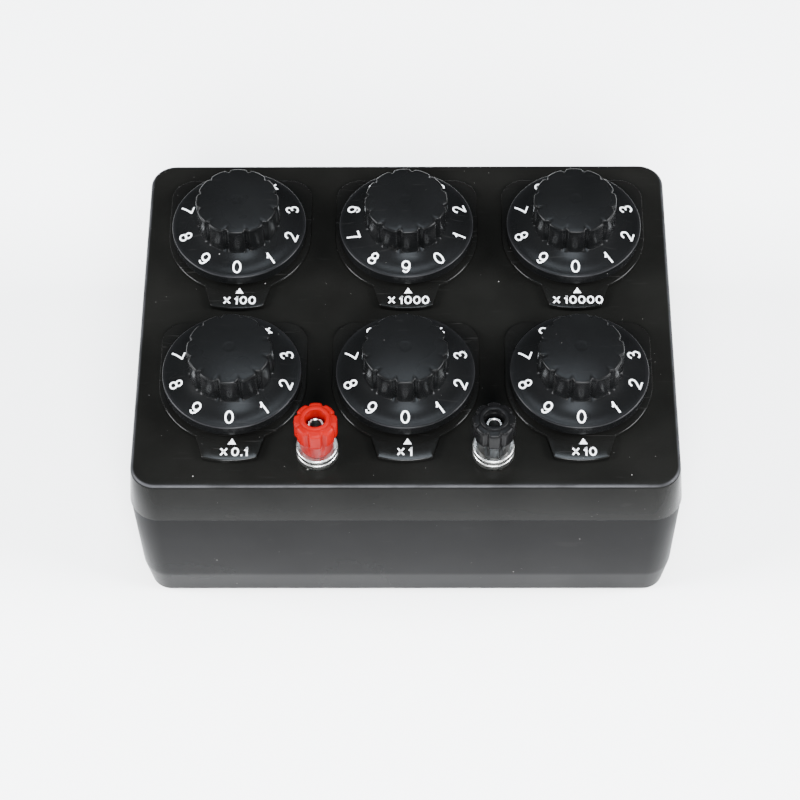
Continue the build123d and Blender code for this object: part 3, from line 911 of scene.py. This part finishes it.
@dataclass
class Enclosure:
    """The two halves of the case, with their screw columns and feet."""

    shop: Workshop
    path: PanelPath = field(default_factory=PanelPath)
    base_level: float = 1.0
    band_level: float = 15.5
    seam_level: float = 56.0
    panel_level: float = 76.0
    ceiling_level: float = 73.0
    cover_flare: float = 1.8
    bead_radius: float = 1.5
    seam_inset: float = -1.55
    band_inset: float = -0.4
    base_inset: float = 1.8
    wall: float = 2.5
    seam_ease: float = 0.25
    column_x: float = 90.5
    column_y: float = 65.75
    foot_x: float = 74.0
    foot_y: float = 49.25
    foot_radius: float = 6.5
    foot_top: float = 2.3
    foot_gap: float = 0.2
    dial_hole: float = 4.6
    post_hole: float = 2.6
    column_hole: float = 4.3
    column_bore: float = 1.7
    column_well: float = 3.6
    column_radius: float = 5.0
    well_ease: float = 0.3
    seat_drop: float = 8.0
    overshoot: float = 2.0

    def corners(self, x: float, y: float) -> list[Pair]:
        """Four plan points that mirror one."""
        return [(sx * x, sy * y) for sx in (-1, 1) for sy in (-1, 1)]

    def build(self) -> None:
        """Makes every piece of the enclosure."""
        self.build_cover()
        self.build_case()
        self.build_columns()
        self.build_feet()

    def build_cover(self) -> None:
        """Lid: (inset, height) points carried round the rounded rectangle, then the panel holes cut."""
        ease, bead = self.seam_ease, self.bead_radius
        inner_seam = self.wall - self.cover_flare
        wall_end = self.cover_flare * (bead / (self.panel_level - self.seam_level))
        profile: Profile = [
            (self.wall, self.ceiling_level),
            (inner_seam, self.seam_level + ease),
            (inner_seam + ease, self.seam_level),
        ]
        profile += inset_arc(-self.cover_flare + ease, self.seam_level + ease, ease, -90.0, 0.0, 4)
        profile += inset_arc(bead - wall_end, self.panel_level - bead, bead, 0.0, 90.0, 9)
        profile += [(3.2, self.panel_level), (6.0, self.panel_level)]
        made = self.shop.shell("cover", self.path.carried(profile))
        low, high = self.ceiling_level - self.overshoot, self.panel_level + self.overshoot
        made = self.shop.drilled(made, [decade.centre for decade in Decade], self.dial_hole, low, high)
        made = self.shop.drilled(made, [BindingPost.plan(post) for post in Post], self.post_hole, low, high)
        self.shop.piece("cover_moulding", made, "cover_plastic", "case", ["top_cover"])

    def build_case(self) -> None:
        """Tray: floor, inner wall, lip, drafted wall, bevelled band and rounded base edge in one profile."""
        ease, base_round = self.seam_ease, 0.8
        lip_top, lip_outer, lip_inner = self.seam_level + 3.0, 1.168, 2.368
        slope = (self.base_inset - self.band_inset) / (self.band_level - self.base_level)
        profile: Profile = [
            (self.base_inset + self.wall, self.base_level + self.wall),
            (self.band_inset + self.wall, self.band_level),
            (self.seam_inset + self.wall + 1.2, self.seam_level - 4.0),
            (lip_inner, self.seam_level - 3.0),
            (lip_inner, lip_top),
            (lip_outer, lip_top),
            (lip_outer, self.seam_level),
        ]
        profile += inset_arc(self.seam_inset + ease, self.seam_level - ease, ease, 90.0, 0.0, 4)
        profile += [
            (self.band_inset - 0.05, self.band_level + 1.6),
            (self.band_inset, self.band_level + 0.6),
            (self.band_inset + 0.06, self.band_level - 0.3),
            (self.band_inset + 0.2, self.band_level - 1.3),
        ]
        edge = self.base_inset - slope * base_round
        profile += inset_arc(edge + base_round, self.base_level + base_round, base_round, 0.0, -90.0, 6)
        profile += [(self.base_inset + 3.0, self.base_level)]
        made = self.shop.shell("case", self.path.carried(profile))
        low, high = self.base_level - self.overshoot, self.base_level + self.wall + self.overshoot
        columns, feet = self.corners(self.column_x, self.column_y), self.corners(self.foot_x, self.foot_y)
        made = self.shop.drilled(made, columns, self.column_hole, low, high)
        made = self.shop.drilled(made, feet, self.foot_radius + self.foot_gap, low, self.foot_top)
        self.shop.piece("case_moulding", made, "case_plastic", "case", ["bottom_case"])

    def build_columns(self) -> None:
        """Screw columns: a tube profile turned about its own axis, with the seat under each screw head."""
        seat, base, ease = self.seam_level - self.seat_drop, self.base_level, self.well_ease
        bore, well, radius = self.column_bore, self.column_well, self.column_radius
        profile: Profile = [(bore, self.seam_level), (bore, seat), (well, seat), (well, base + ease)]
        profile += [(well + ease, base), (radius, base), (radius, self.seam_level), (bore, self.seam_level)]
        tube = self.shop.shell("column", revolved(profile, 40))
        for number, place in enumerate(self.corners(self.column_x, self.column_y), start=1):
            self.shop.put(f"screw_column_{number}", tube, place, "case_plastic", "case")

    def build_feet(self) -> None:
        """Rubber feet: a turned pad with a rounded rim and a shallow dish underneath."""
        rim = 0.5
        profile: Profile = [(0.0, 0.25), (self.foot_radius - 2.2, 0.2), (self.foot_radius - 1.5, 0.0)]
        profile += arc((self.foot_radius - rim, rim), rim, -90.0, 0.0, 5)
        profile += [(self.foot_radius, self.foot_top), (0.0, self.foot_top)]
        pad = self.shop.shell("pad", revolved(profile, 48))
        for number, place in enumerate(self.corners(self.foot_x, self.foot_y), start=1):
            self.shop.put(f"foot_pad_{number}", pad, place, "foot_rubber", "case", ["rubber_feet"])


@dataclass
class PointerPlate:
    """Raised plate under a dial: square behind, round in front, with a tapered tab and its printing."""

    shop: Workshop
    bottom: float = 76.0
    top: float = 78.0
    radius: float = 27.3
    corner: float = 9.0
    tab_reach: float = 35.0
    tab_root: Pair = (12.6, 24.5)
    tab_tip: float = 10.0
    hole: float = 4.6
    edge: float = 0.45
    triangle_apex: float = 25.4
    triangle_size: Pair = (3.0, 2.6)
    label_centre: float = 31.2
    print_shift: float = 0.8
    label: Lettering = Lettering(2.8, 3.75, 0.62)
    samples: int = 1440

    def reach(self, angle: np.ndarray) -> np.ndarray:
        """Outline as a distance from the axis: the largest of the circle, the square's back and the tab.

        The square's back is the nearer of its side and end, with the corner's circle. The tab is the nearer
        of its slanted sides and its end arc, eased where they meet.

        Args:
            angle: angles from +X, in radians.

        Returns:
            Distances in millimetres.
        """
        cos, sin = np.cos(angle), np.sin(angle)
        flat = np.minimum(
            self.radius / np.maximum(np.abs(cos), 1e-6), self.radius / np.maximum(np.abs(sin), 1e-6)
        )
        inner = self.radius - self.corner
        along = inner * (np.abs(cos) + np.abs(sin))
        root = np.sqrt(np.maximum(along**2 - 2 * inner**2 + self.corner**2, 0.0))
        rounded = along + root
        in_corner = (flat * np.abs(cos) > inner) & (flat * np.abs(sin) > inner)
        back = np.where(in_corner, rounded, flat)
        square = np.where(sin > 0, back, self.radius)
        root_x, root_y = self.tab_root
        tip_y = math.sqrt(self.tab_reach**2 - self.tab_tip**2)
        lean = (root_x - self.tab_tip) / (tip_y - root_y)
        side = (root_x + lean * root_y) / np.maximum(np.abs(cos) - lean * sin, 1e-6)
        soft = 0.25
        tab = -soft * np.log(np.exp(-side / soft) + np.exp(-self.tab_reach / soft))
        return np.where(sin < -0.5, np.maximum(square, tab), square)

    def surface(self) -> np.ndarray:
        """Closed band round the plate: hole wall, top, rounded rim, outer wall and underside.

        Returns:
            Rows by columns by three, in metres.
        """
        angle = np.linspace(0.0, TAU, self.samples, endpoint=False)
        outline = self.reach(angle)
        direction = np.stack([np.cos(angle), np.sin(angle)], axis=-1)
        rows = [(np.full_like(outline, self.hole), self.bottom), (np.full_like(outline, self.hole), self.top)]
        rows += [(self.hole + (outline - self.hole) * share, self.top) for share in (0.3, 0.6, 0.85)]
        rows += [
            (outline - self.edge + x, self.top - self.edge + y)
            for x, y in arc((0.0, 0.0), self.edge, 90.0, 0.0, 5)
        ]
        rows += [(outline, self.bottom), (np.full_like(outline, self.hole), self.bottom)]
        grid = [
            np.column_stack([direction * reach[:, None], np.full(len(angle), level)]) for reach, level in rows
        ]
        return np.stack(grid) * MM

    def build(self) -> None:
        """Makes the six plates with their triangles and multipliers."""
        blank = self.shop.shell("plate", self.surface())
        for decade in Decade:
            name = f"pointer_plate_{decade.suffix}"
            self.shop.put(name, blank, decade.centre, "plate_plastic", "case", ["pointer_plates"])
            self.print_triangle(decade)
            self.print_label(decade)

    def print_triangle(self, decade: Decade) -> None:
        """Prints the triangle that points at the dial.

        Args:
            decade: the decade it belongs to.
        """
        half, height = self.triangle_size[0] / 2, self.triangle_size[1]
        apex = -self.triangle_apex
        flat = np.array([[0.0, apex], [-half, apex - height], [half, apex - height]])
        flat += np.array(decade.centre)
        flat[:, 0] += self.print_shift
        levels = (self.top + PRINT_LIFT, self.top + PRINT_THICKNESS)
        points = np.concatenate([np.column_stack([flat, np.full(3, level)]) for level in levels]) * MM
        faces = [[0, 1, 2], [3, 5, 4], [0, 3, 4, 1], [1, 4, 5, 2], [2, 5, 3, 0]]
        made = self.shop.mesh("triangle", points, faces)
        self.shop.piece(f"pointer_mark_{decade.suffix}", made, "legend_white", "case")

    def print_label(self, decade: Decade) -> None:
        """Prints the times sign and the multiplier under the triangle.

        Args:
            decade: the decade it belongs to.
        """
        made = self.label.drawn(self.shop, "label", "×" + decade.multiplier)
        x, y = decade.centre
        level = self.top + PRINT_THICKNESS / 2 + PRINT_LIFT
        shift = np.array([x + self.print_shift + decade.label_offset, y - self.label_centre, level]) * MM
        lay(made, lambda points: points + shift)
        self.shop.piece(f"multiplier_print_{decade.suffix}", made, "legend_white", "case")


@dataclass
class Dial:
    """Moulded knob: skirt with a conical number face and a scalloped crown, with its printed digits."""

    shop: Workshop
    skirt_bottom: float = 80.5
    rim_level: float = 85.0
    rim_round: float = 0.55
    skirt_radius: float = 25.6
    cone_level: float = 88.0
    face_hollow: float = 1.9
    crown_radius: float = 15.7
    crown_top: float = 99.4
    dome_top: float = 100.2
    crown_round: float = 0.9
    foot_round: float = 0.6
    grooves: Grooves = Grooves(12, 1.0, 5.2)
    lobe_bulge: float = 0.12
    fade_inset: float = 2.8
    fade_span: float = 1.5
    driver_radius: float = 2.0
    driver_length: float = 16.5
    driver_level: float = 93.5
    witness_radius: float = 2.4
    witness_depth: float = 0.03
    digit_radius: float = 21.15
    digits: Lettering = Lettering(3.3, 5.2, 0.64)
    columns: int = 288

    def face_level(self, radius: np.ndarray | float) -> np.ndarray | float:
        """Height of the number face: a hollow cone, its rise being a power of the way in from the rim."""
        span = self.skirt_radius - self.rim_round - (self.crown_radius - self.grooves.depth)
        share = np.clip((self.skirt_radius - self.rim_round - radius) / span, 0.0, 1.0)
        return self.rim_level + (self.cone_level - self.rim_level) * share**self.face_hollow

    def scalloped(self, radius: np.ndarray, height: np.ndarray, angle: np.ndarray) -> np.ndarray:
        """Radius with grooves between bulging lobes, both fading over the crown's top by a smooth step.

        Args:
            radius: profile radius.
            height: profile height.
            angle: angle round the axis.

        Returns:
            The changed radius.
        """
        half_pitch = TAU / self.grooves.count / 2
        offset = self.grooves.offset(angle)
        bulge = self.lobe_bulge * np.cos(np.clip((offset - half_pitch) / half_pitch, -1, 1) * math.pi / 2)
        on_crown = height > self.cone_level - 0.6
        fade = np.clip((radius - (self.crown_radius - self.fade_inset)) / self.fade_span, 0.0, 1.0)
        fade = fade * fade * (3 - 2 * fade) * (radius <= self.crown_radius + 0.8)
        return radius - np.where(on_crown, fade * (self.grooves.cut(angle) - bulge + self.lobe_bulge), 0.0)

    def profile(self) -> Profile:
        """Closed section from the bore's end, round the skirt and up over the crown."""
        recess, hub, bore, bore_top, ease = 8.0, 81.9, 3.02, 95.0, 0.3
        face_start = self.skirt_radius - self.rim_round
        points: Profile = [
            (0.0, bore_top),
            (bore, bore_top),
            (bore, hub),
            (recess, hub),
            (recess, self.skirt_bottom),
            (self.skirt_radius - ease, self.skirt_bottom),
            (self.skirt_radius, self.skirt_bottom + ease),
        ]
        points += arc((face_start, self.rim_level - self.rim_round), self.rim_round, 0.0, 74.0, 6)
        foot = self.crown_radius + self.foot_round
        for radius in np.linspace(face_start - 0.6, foot, 9):
            points.append((float(radius), float(self.face_level(radius))))
        base = float(self.face_level(foot))
        points += [
            (self.crown_radius + self.foot_round * 0.3, base + self.foot_round * 0.3),
            (self.crown_radius, base + self.foot_round),
        ]
        for height in np.linspace(base + 2.0, self.crown_top - self.crown_round, 5):
            points.append((self.crown_radius, float(height)))
        start = self.crown_radius - self.crown_round
        points += arc((start, self.crown_top - self.crown_round), self.crown_round, 0.0, 84.0, 8)
        for radius in np.linspace(start - 1.2, self.witness_radius + 0.25, 12):
            points.append((float(radius), self.dome(float(radius), start)))
        rim = self.dome(self.witness_radius, start)
        points += [(self.witness_radius, rim), (self.witness_radius - 0.3, rim - self.witness_depth)]
        points += [(1.2, rim - self.witness_depth), (0.0, rim - self.witness_depth)]
        return points

    def dome(self, radius: float, start: float) -> float:
        """Height of the crown's top: a parabola from its rounded edge up to the middle."""
        return self.crown_top + (self.dome_top - self.crown_top) * (1 - (radius / start) ** 2)

    def build(self) -> None:
        """Makes the six knobs and their digits."""
        blank = self.shop.shell("knob", revolved(self.profile(), self.columns, self.scalloped))
        blank = self.shop.cut(blank, self.screw_hole())
        digits = [self.digits.drawn(self.shop, f"digit_{n}", str(n)) for n in range(10)]
        for decade in Decade:
            name, body = decade.suffix, f"dial_{decade.suffix}"
            moulding, node = f"dial_moulding_{name}", f"knob_{name}"
            self.shop.put(moulding, blank, decade.centre, "knob_plastic", body, [node], decade.turn)
            self.print_digits(decade, digits)

    def screw_hole(self) -> Mesh:
        """Cylinder across the back of the crown, where the knob screw goes in."""
        radius, length = self.driver_radius, self.driver_length
        rod = revolved([(0.0, 0.0), (radius, 0.0), (radius, length), (0.0, length)], 32)
        made = self.shop.shell("driver_way", rod)
        lift = Matrix.Translation((0.0, 0.0, self.driver_level * MM))
        made.transform(lift @ Matrix.Rotation(-TAU / 4, 4, "X"))
        return made

    def print_digits(self, decade: Decade, digits: list[Mesh]) -> None:
        """Lays the ten digits on the hollow cone, tops towards the crown, each following its surface.

        Args:
            decade: the decade whose dial is printed.
            digits: flat digit meshes, from 0 to 9.
        """
        slope = (self.cone_level - self.rim_level) / (
            self.skirt_radius - self.rim_round - self.crown_radius + self.grooves.depth
        )
        lean = 1 / math.sqrt(1 + slope * slope)
        x, y = decade.centre
        for number, flat in enumerate(digits):
            angle = -TAU / 4 + DIGIT_TURN * number + decade.turn
            inward = np.array([-math.cos(angle), -math.sin(angle)])
            across = np.array([-math.sin(angle), math.cos(angle)])

            def onto_cone(points: np.ndarray) -> np.ndarray:
                """Point = centre + across times u + inward times v, at the face's height plus the lift."""
                plan = across * points[:, :1] + inward * (points[:, 1:2] * lean - self.digit_radius * MM)
                radius = np.linalg.norm(plan, axis=1) / MM
                level = self.face_level(radius) * MM + points[:, 2] + (PRINT_THICKNESS / 2 + PRINT_LIFT) * MM
                return np.column_stack([plan + np.array([x, y]) * MM, level])

            made = lay(flat.copy(), onto_cone)
            piece = f"digit_{number}_{decade.suffix}"
            self.shop.piece(piece, made, "legend_white", f"dial_{decade.suffix}")


@dataclass
class BindingPost:
    """Chrome stem with its collar, clamp ring, and a lobed screw cap with an open mouth."""

    shop: Workshop
    post: Post
    panel: float = 76.0
    ring_radius: float = 7.65
    collar: float = 2.8
    ring_bottom: float = 79.0
    ring_top: float = 81.6
    stem_radius: float = 3.0
    stem_top: float = 95.0
    socket_radius: float = 2.0
    socket_depth: float = 14.0
    cap_bottom: float = 81.7
    head_level: float = 88.8
    head_top: float = 98.0
    cap_top: float = 98.9
    head_radius: float = 7.8
    waist_radius: float = 6.7
    foot_radius: float = 5.9
    mouth_radius: float = 3.75
    lip_radius: float = 5.3
    grooves: Grooves = Grooves(8, 0.95, 9.5)

    @staticmethod
    def plan(post: Post) -> Pair:
        """Plan position of a post, in millimetres."""
        return post.value[1] * POST_SIDE, POST_ROW

    def build(self) -> None:
        """Makes the stem, the ring and the cap."""
        colour, place = self.post.value[0], self.plan(self.post)
        parts = (
            ("stem", revolved(self.stem_profile(), 72), "post_chrome", "case", "post_stem"),
            ("ring", revolved(self.ring_profile(), 96), "post_chrome", f"{colour}_clamp", "clamp_ring"),
            (
                "cap",
                revolved(self.cap_profile(), 240, self.lobed),
                f"{colour}_cap_plastic",
                f"{colour}_cap",
                "post_cap",
            ),
        )
        for name, surface, slot, body, node in parts:
            blank = self.shop.shell(name, surface)
            self.shop.put(f"{colour}_{name}", blank, place, slot, body, [f"{colour}_{node}"])

    def stem_profile(self) -> Profile:
        """Section of the stem: stud below, collar with rounded edges, tube and socket bore."""
        ease, top = 0.5, self.panel + self.collar
        points: Profile = [(0.0, 63.5), (2.1, 63.5), (2.5, 63.9), (2.5, self.panel)]
        points += [(self.ring_radius - 0.3, self.panel), (self.ring_radius, self.panel + 0.3)]
        points += arc((self.ring_radius - ease, top - ease), ease, 0.0, 90.0, 6)
        points += [(self.stem_radius, top), (self.stem_radius, self.stem_top - 0.4)]
        socket, floor, chamfer = self.socket_radius, self.stem_top - self.socket_depth, 0.25
        points += [(self.stem_radius - 0.4, self.stem_top), (socket + chamfer, self.stem_top)]
        return points + [(socket, self.stem_top - chamfer), (socket, floor), (0.0, floor)]

    def ring_profile(self) -> Profile:
        """Section of the clamp ring: a band with rounded outer edges and a shallow groove."""
        ease, inner = 0.55, self.stem_radius + 0.05
        outer, low, high = self.ring_radius, self.ring_bottom, self.ring_top
        points: Profile = [(inner, high), (inner, low)]
        points += arc((outer - ease, low + ease), ease, -90.0, 0.0, 6)
        points += arc((outer - ease, high - ease), ease, 0.0, 90.0, 6)
        return points + [(inner, high)]

    def cap_profile(self) -> Profile:
        """Section of the cap: thread bore, mouth, lip, rounded head and tapered waist."""
        thread, ease, lip = self.stem_radius + 0.05, 1.3, 0.4
        throat = self.cap_bottom + 8.0
        points: Profile = [(thread, self.cap_bottom), (thread, throat), (self.mouth_radius, throat)]
        points += [(self.mouth_radius, self.cap_top - lip)]
        points += arc((self.mouth_radius + lip, self.cap_top - lip), lip, 180.0, 90.0, 4)
        points += arc((self.lip_radius - lip, self.cap_top - lip), lip, 90.0, 0.0, 4)
        points += [(self.lip_radius + 0.1, self.head_top + 0.1), (self.lip_radius + 0.5, self.head_top)]
        points += arc((self.head_radius - ease, self.head_top - ease), ease, 88.0, 0.0, 7)
        head, waist, foot = self.head_radius, self.waist_radius, self.foot_radius
        points += [(head, float(z)) for z in np.linspace(self.head_top - 2.5, self.head_level + 1.6, 6)]
        points += [(head - 0.35, self.head_level + 0.8), (waist + 0.35, self.head_level)]
        points += [(waist, self.head_level - 0.6)]
        points += [(foot + 0.15, self.cap_bottom + 0.5), (foot - 0.1, self.cap_bottom)]
        return points + [(thread, self.cap_bottom)]

    def lobed(self, radius: np.ndarray, height: np.ndarray, angle: np.ndarray) -> np.ndarray:
        """Radius with grooves, full on the head and fading into the waist.

        Args:
            radius: profile radius.
            height: profile height.
            angle: angle round the axis.

        Returns:
            The changed radius.
        """
        outside = np.clip((radius - self.lip_radius - 0.2) / 1.2, 0.0, 1.0)
        low = np.clip((height - (self.head_level - 1.0)) / 2.0, 0.0, 1.0)
        waist = 0.25 * np.clip((radius - self.foot_radius) / 0.5, 0.0, 1.0)
        share = np.maximum(outside * low, np.where(height < self.head_level, waist, 0.0))
        return radius - self.grooves.cut(angle) * share


class CarriedNodes:
    """CAD nodes that keep their own shape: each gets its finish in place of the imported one."""

    SLOTS = {
        "case_screws": "plated_steel",
        "bushings": "brass",
        "bushing_washers": "plated_steel",
        "bushing_nuts": "plated_steel",
        "detent_plates": "plated_steel",
        "detent_springs": "spring_steel",
        "contact_decks": "laminate",
        "deck_pillars": "brass",
        "contact_lugs": "contact_brass",
        "common_rings": "contact_brass",
        "link_straps": "tinned_strap",
        "post_nuts": "plated_steel",
        "solder_tags": "tinned_strap",
    }
    DECADE_SLOTS = {
        "knob_screw": "plated_steel",
        "shaft": "plated_steel",
        "detent_wheel": "wheel_plastic",
        "wiper": "contact_brass",
        "resistor_cards": "resistor_card",
    }

    def __init__(self, finishes: FinishBook) -> None:
        """Keeps the finishes at hand.

        Args:
            finishes: the materials by slot.
        """
        self.finishes = finishes

    def dress(self) -> None:
        """Puts the finish of each carried node on its object."""
        slots = dict(self.SLOTS)
        for kind, slot in self.DECADE_SLOTS.items():
            slots |= {f"{kind}_{decade.suffix}": slot for decade in Decade}
        for node, slot in slots.items():
            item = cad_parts[node]
            item.data.materials.clear()
            item.data.materials.append(self.finishes.material(slot))
            LOG.info("node %s: finish %s", node, slot)


@dataclass(frozen=True)
class Softbox:
    """Rectangular soft light that faces a point on the Z axis: metres and watts."""

    name: str
    place: Triple
    size: Pair
    power: float
    tint: Colour
    aim_level: float = 0.05

    def build(self) -> None:
        """Adds the light to the scene."""
        lamp = bpy.data.lights.new(self.name, "AREA")
        lamp.shape = "RECTANGLE"
        lamp.size, lamp.size_y = self.size
        lamp.energy = self.power
        lamp.color = self.tint
        item = bpy.data.objects.new(self.name, lamp)
        item.location = self.place
        facing = Vector((0.0, 0.0, self.aim_level)) - Vector(self.place)
        item.rotation_euler = facing.to_track_quat("-Z", "Y").to_euler()
        bpy.context.scene.collection.objects.link(item)


LAMP_TINT: Colour = (0.97, 0.985, 1.0)
COOL_TINT: Colour = (0.8, 0.9, 1.0)
SOFTBOXES = (
    Softbox("overhead_softbox", (0.05, -0.28, 1.6), (0.5, 0.4), 19.0, COOL_TINT, 0.0),
    Softbox("rear_softbox", (0.0, 0.48, 1.4), (0.45, 0.2), 7.0, COOL_TINT, 0.0),
    Softbox("front_softbox", (0.1, -1.9, 1.6), (1.2, 0.9), 230.0, LAMP_TINT),
    Softbox("left_softbox", (-1.9, -0.3, 1.3), (1.2, 0.9), 210.0, LAMP_TINT),
    Softbox("right_softbox", (1.9, -0.3, 1.3), (1.2, 0.9), 210.0, LAMP_TINT),
)


@dataclass
class Studio:
    """White floor, soft lights, world and the camera at the photograph's view."""

    eye: Triple = (0.00927, -0.5893, 0.8734)
    pitch: float = 55.292
    yaw: float = -1.177
    roll: float = -1.036
    lens: float = 118.24
    floor_half: float = 4.0
    floor_tint: Colour = (0.95, 0.945, 0.94)

    def build(self) -> None:
        """Makes the floor, the lights, the world and the camera."""
        self.build_floor()
        self.build_world()
        for softbox in SOFTBOXES:
            softbox.build()
        self.build_camera()

    def build_floor(self) -> None:
        """Plain pale floor under the feet."""
        half = self.floor_half
        made = bpy.data.meshes.new("floor")
        corners = [(-half, -half, 0), (half, -half, 0), (half, half, 0), (-half, half, 0)]
        made.from_pydata(corners, [], [(0, 1, 2, 3)])
        graph = Graph("floor_white")
        graph.shader.inputs["Roughness"].default_value = 0.9
        graph.shader.inputs["Base Color"].default_value = (*self.floor_tint, 1.0)
        made.materials.append(graph.material)
        item = bpy.data.objects.new("floor", made)
        bpy.context.scene.collection.objects.link(item)

    def build_world(self) -> None:
        """Even dim surroundings."""
        world = bpy.data.worlds.new("studio")
        world.use_nodes = True
        background = world.node_tree.nodes["Background"]
        background.inputs["Color"].default_value = (0.9, 0.95, 1.0, 1.0)
        background.inputs["Strength"].default_value = 0.12
        bpy.context.scene.world = world

    def build_camera(self) -> None:
        """Camera solved from the photograph: pitch down, a small yaw, then a small roll about its axis."""
        pitch, yaw, roll = (math.radians(angle) for angle in (self.pitch, self.yaw, self.roll))
        flat = math.cos(pitch)
        forward = np.array([math.sin(yaw) * flat, math.cos(yaw) * flat, -math.sin(pitch)])
        level = np.array([math.cos(yaw), -math.sin(yaw), 0.0])
        upright = np.cross(level, forward)
        right = level * math.cos(roll) + upright * math.sin(roll)
        up = upright * math.cos(roll) - level * math.sin(roll)
        data = bpy.data.cameras.new("photo_camera")
        data.lens = self.lens
        data.sensor_width = 36.0
        data.clip_start, data.clip_end = 0.05, 20.0
        item = bpy.data.objects.new("photo_camera", data)
        matrix = Matrix([[*row] for row in np.column_stack([right, up, -forward])]).to_4x4()
        matrix.translation = self.eye
        item.matrix_world = matrix
        bpy.context.scene.collection.objects.link(item)
        bpy.context.scene.camera = item


def main() -> None:
    """Builds the sub-assemblies in order and reports each piece."""
    logging.basicConfig(level=logging.INFO, format="%(message)s")
    finishes = FinishBook()
    shop = Workshop(finishes)
    CarriedNodes(finishes).dress()
    Enclosure(shop).build()
    PointerPlate(shop).build()
    Dial(shop).build()
    for post in Post:
        BindingPost(shop, post).build()
    Studio().build()


if __name__ == "__main__":
    main()
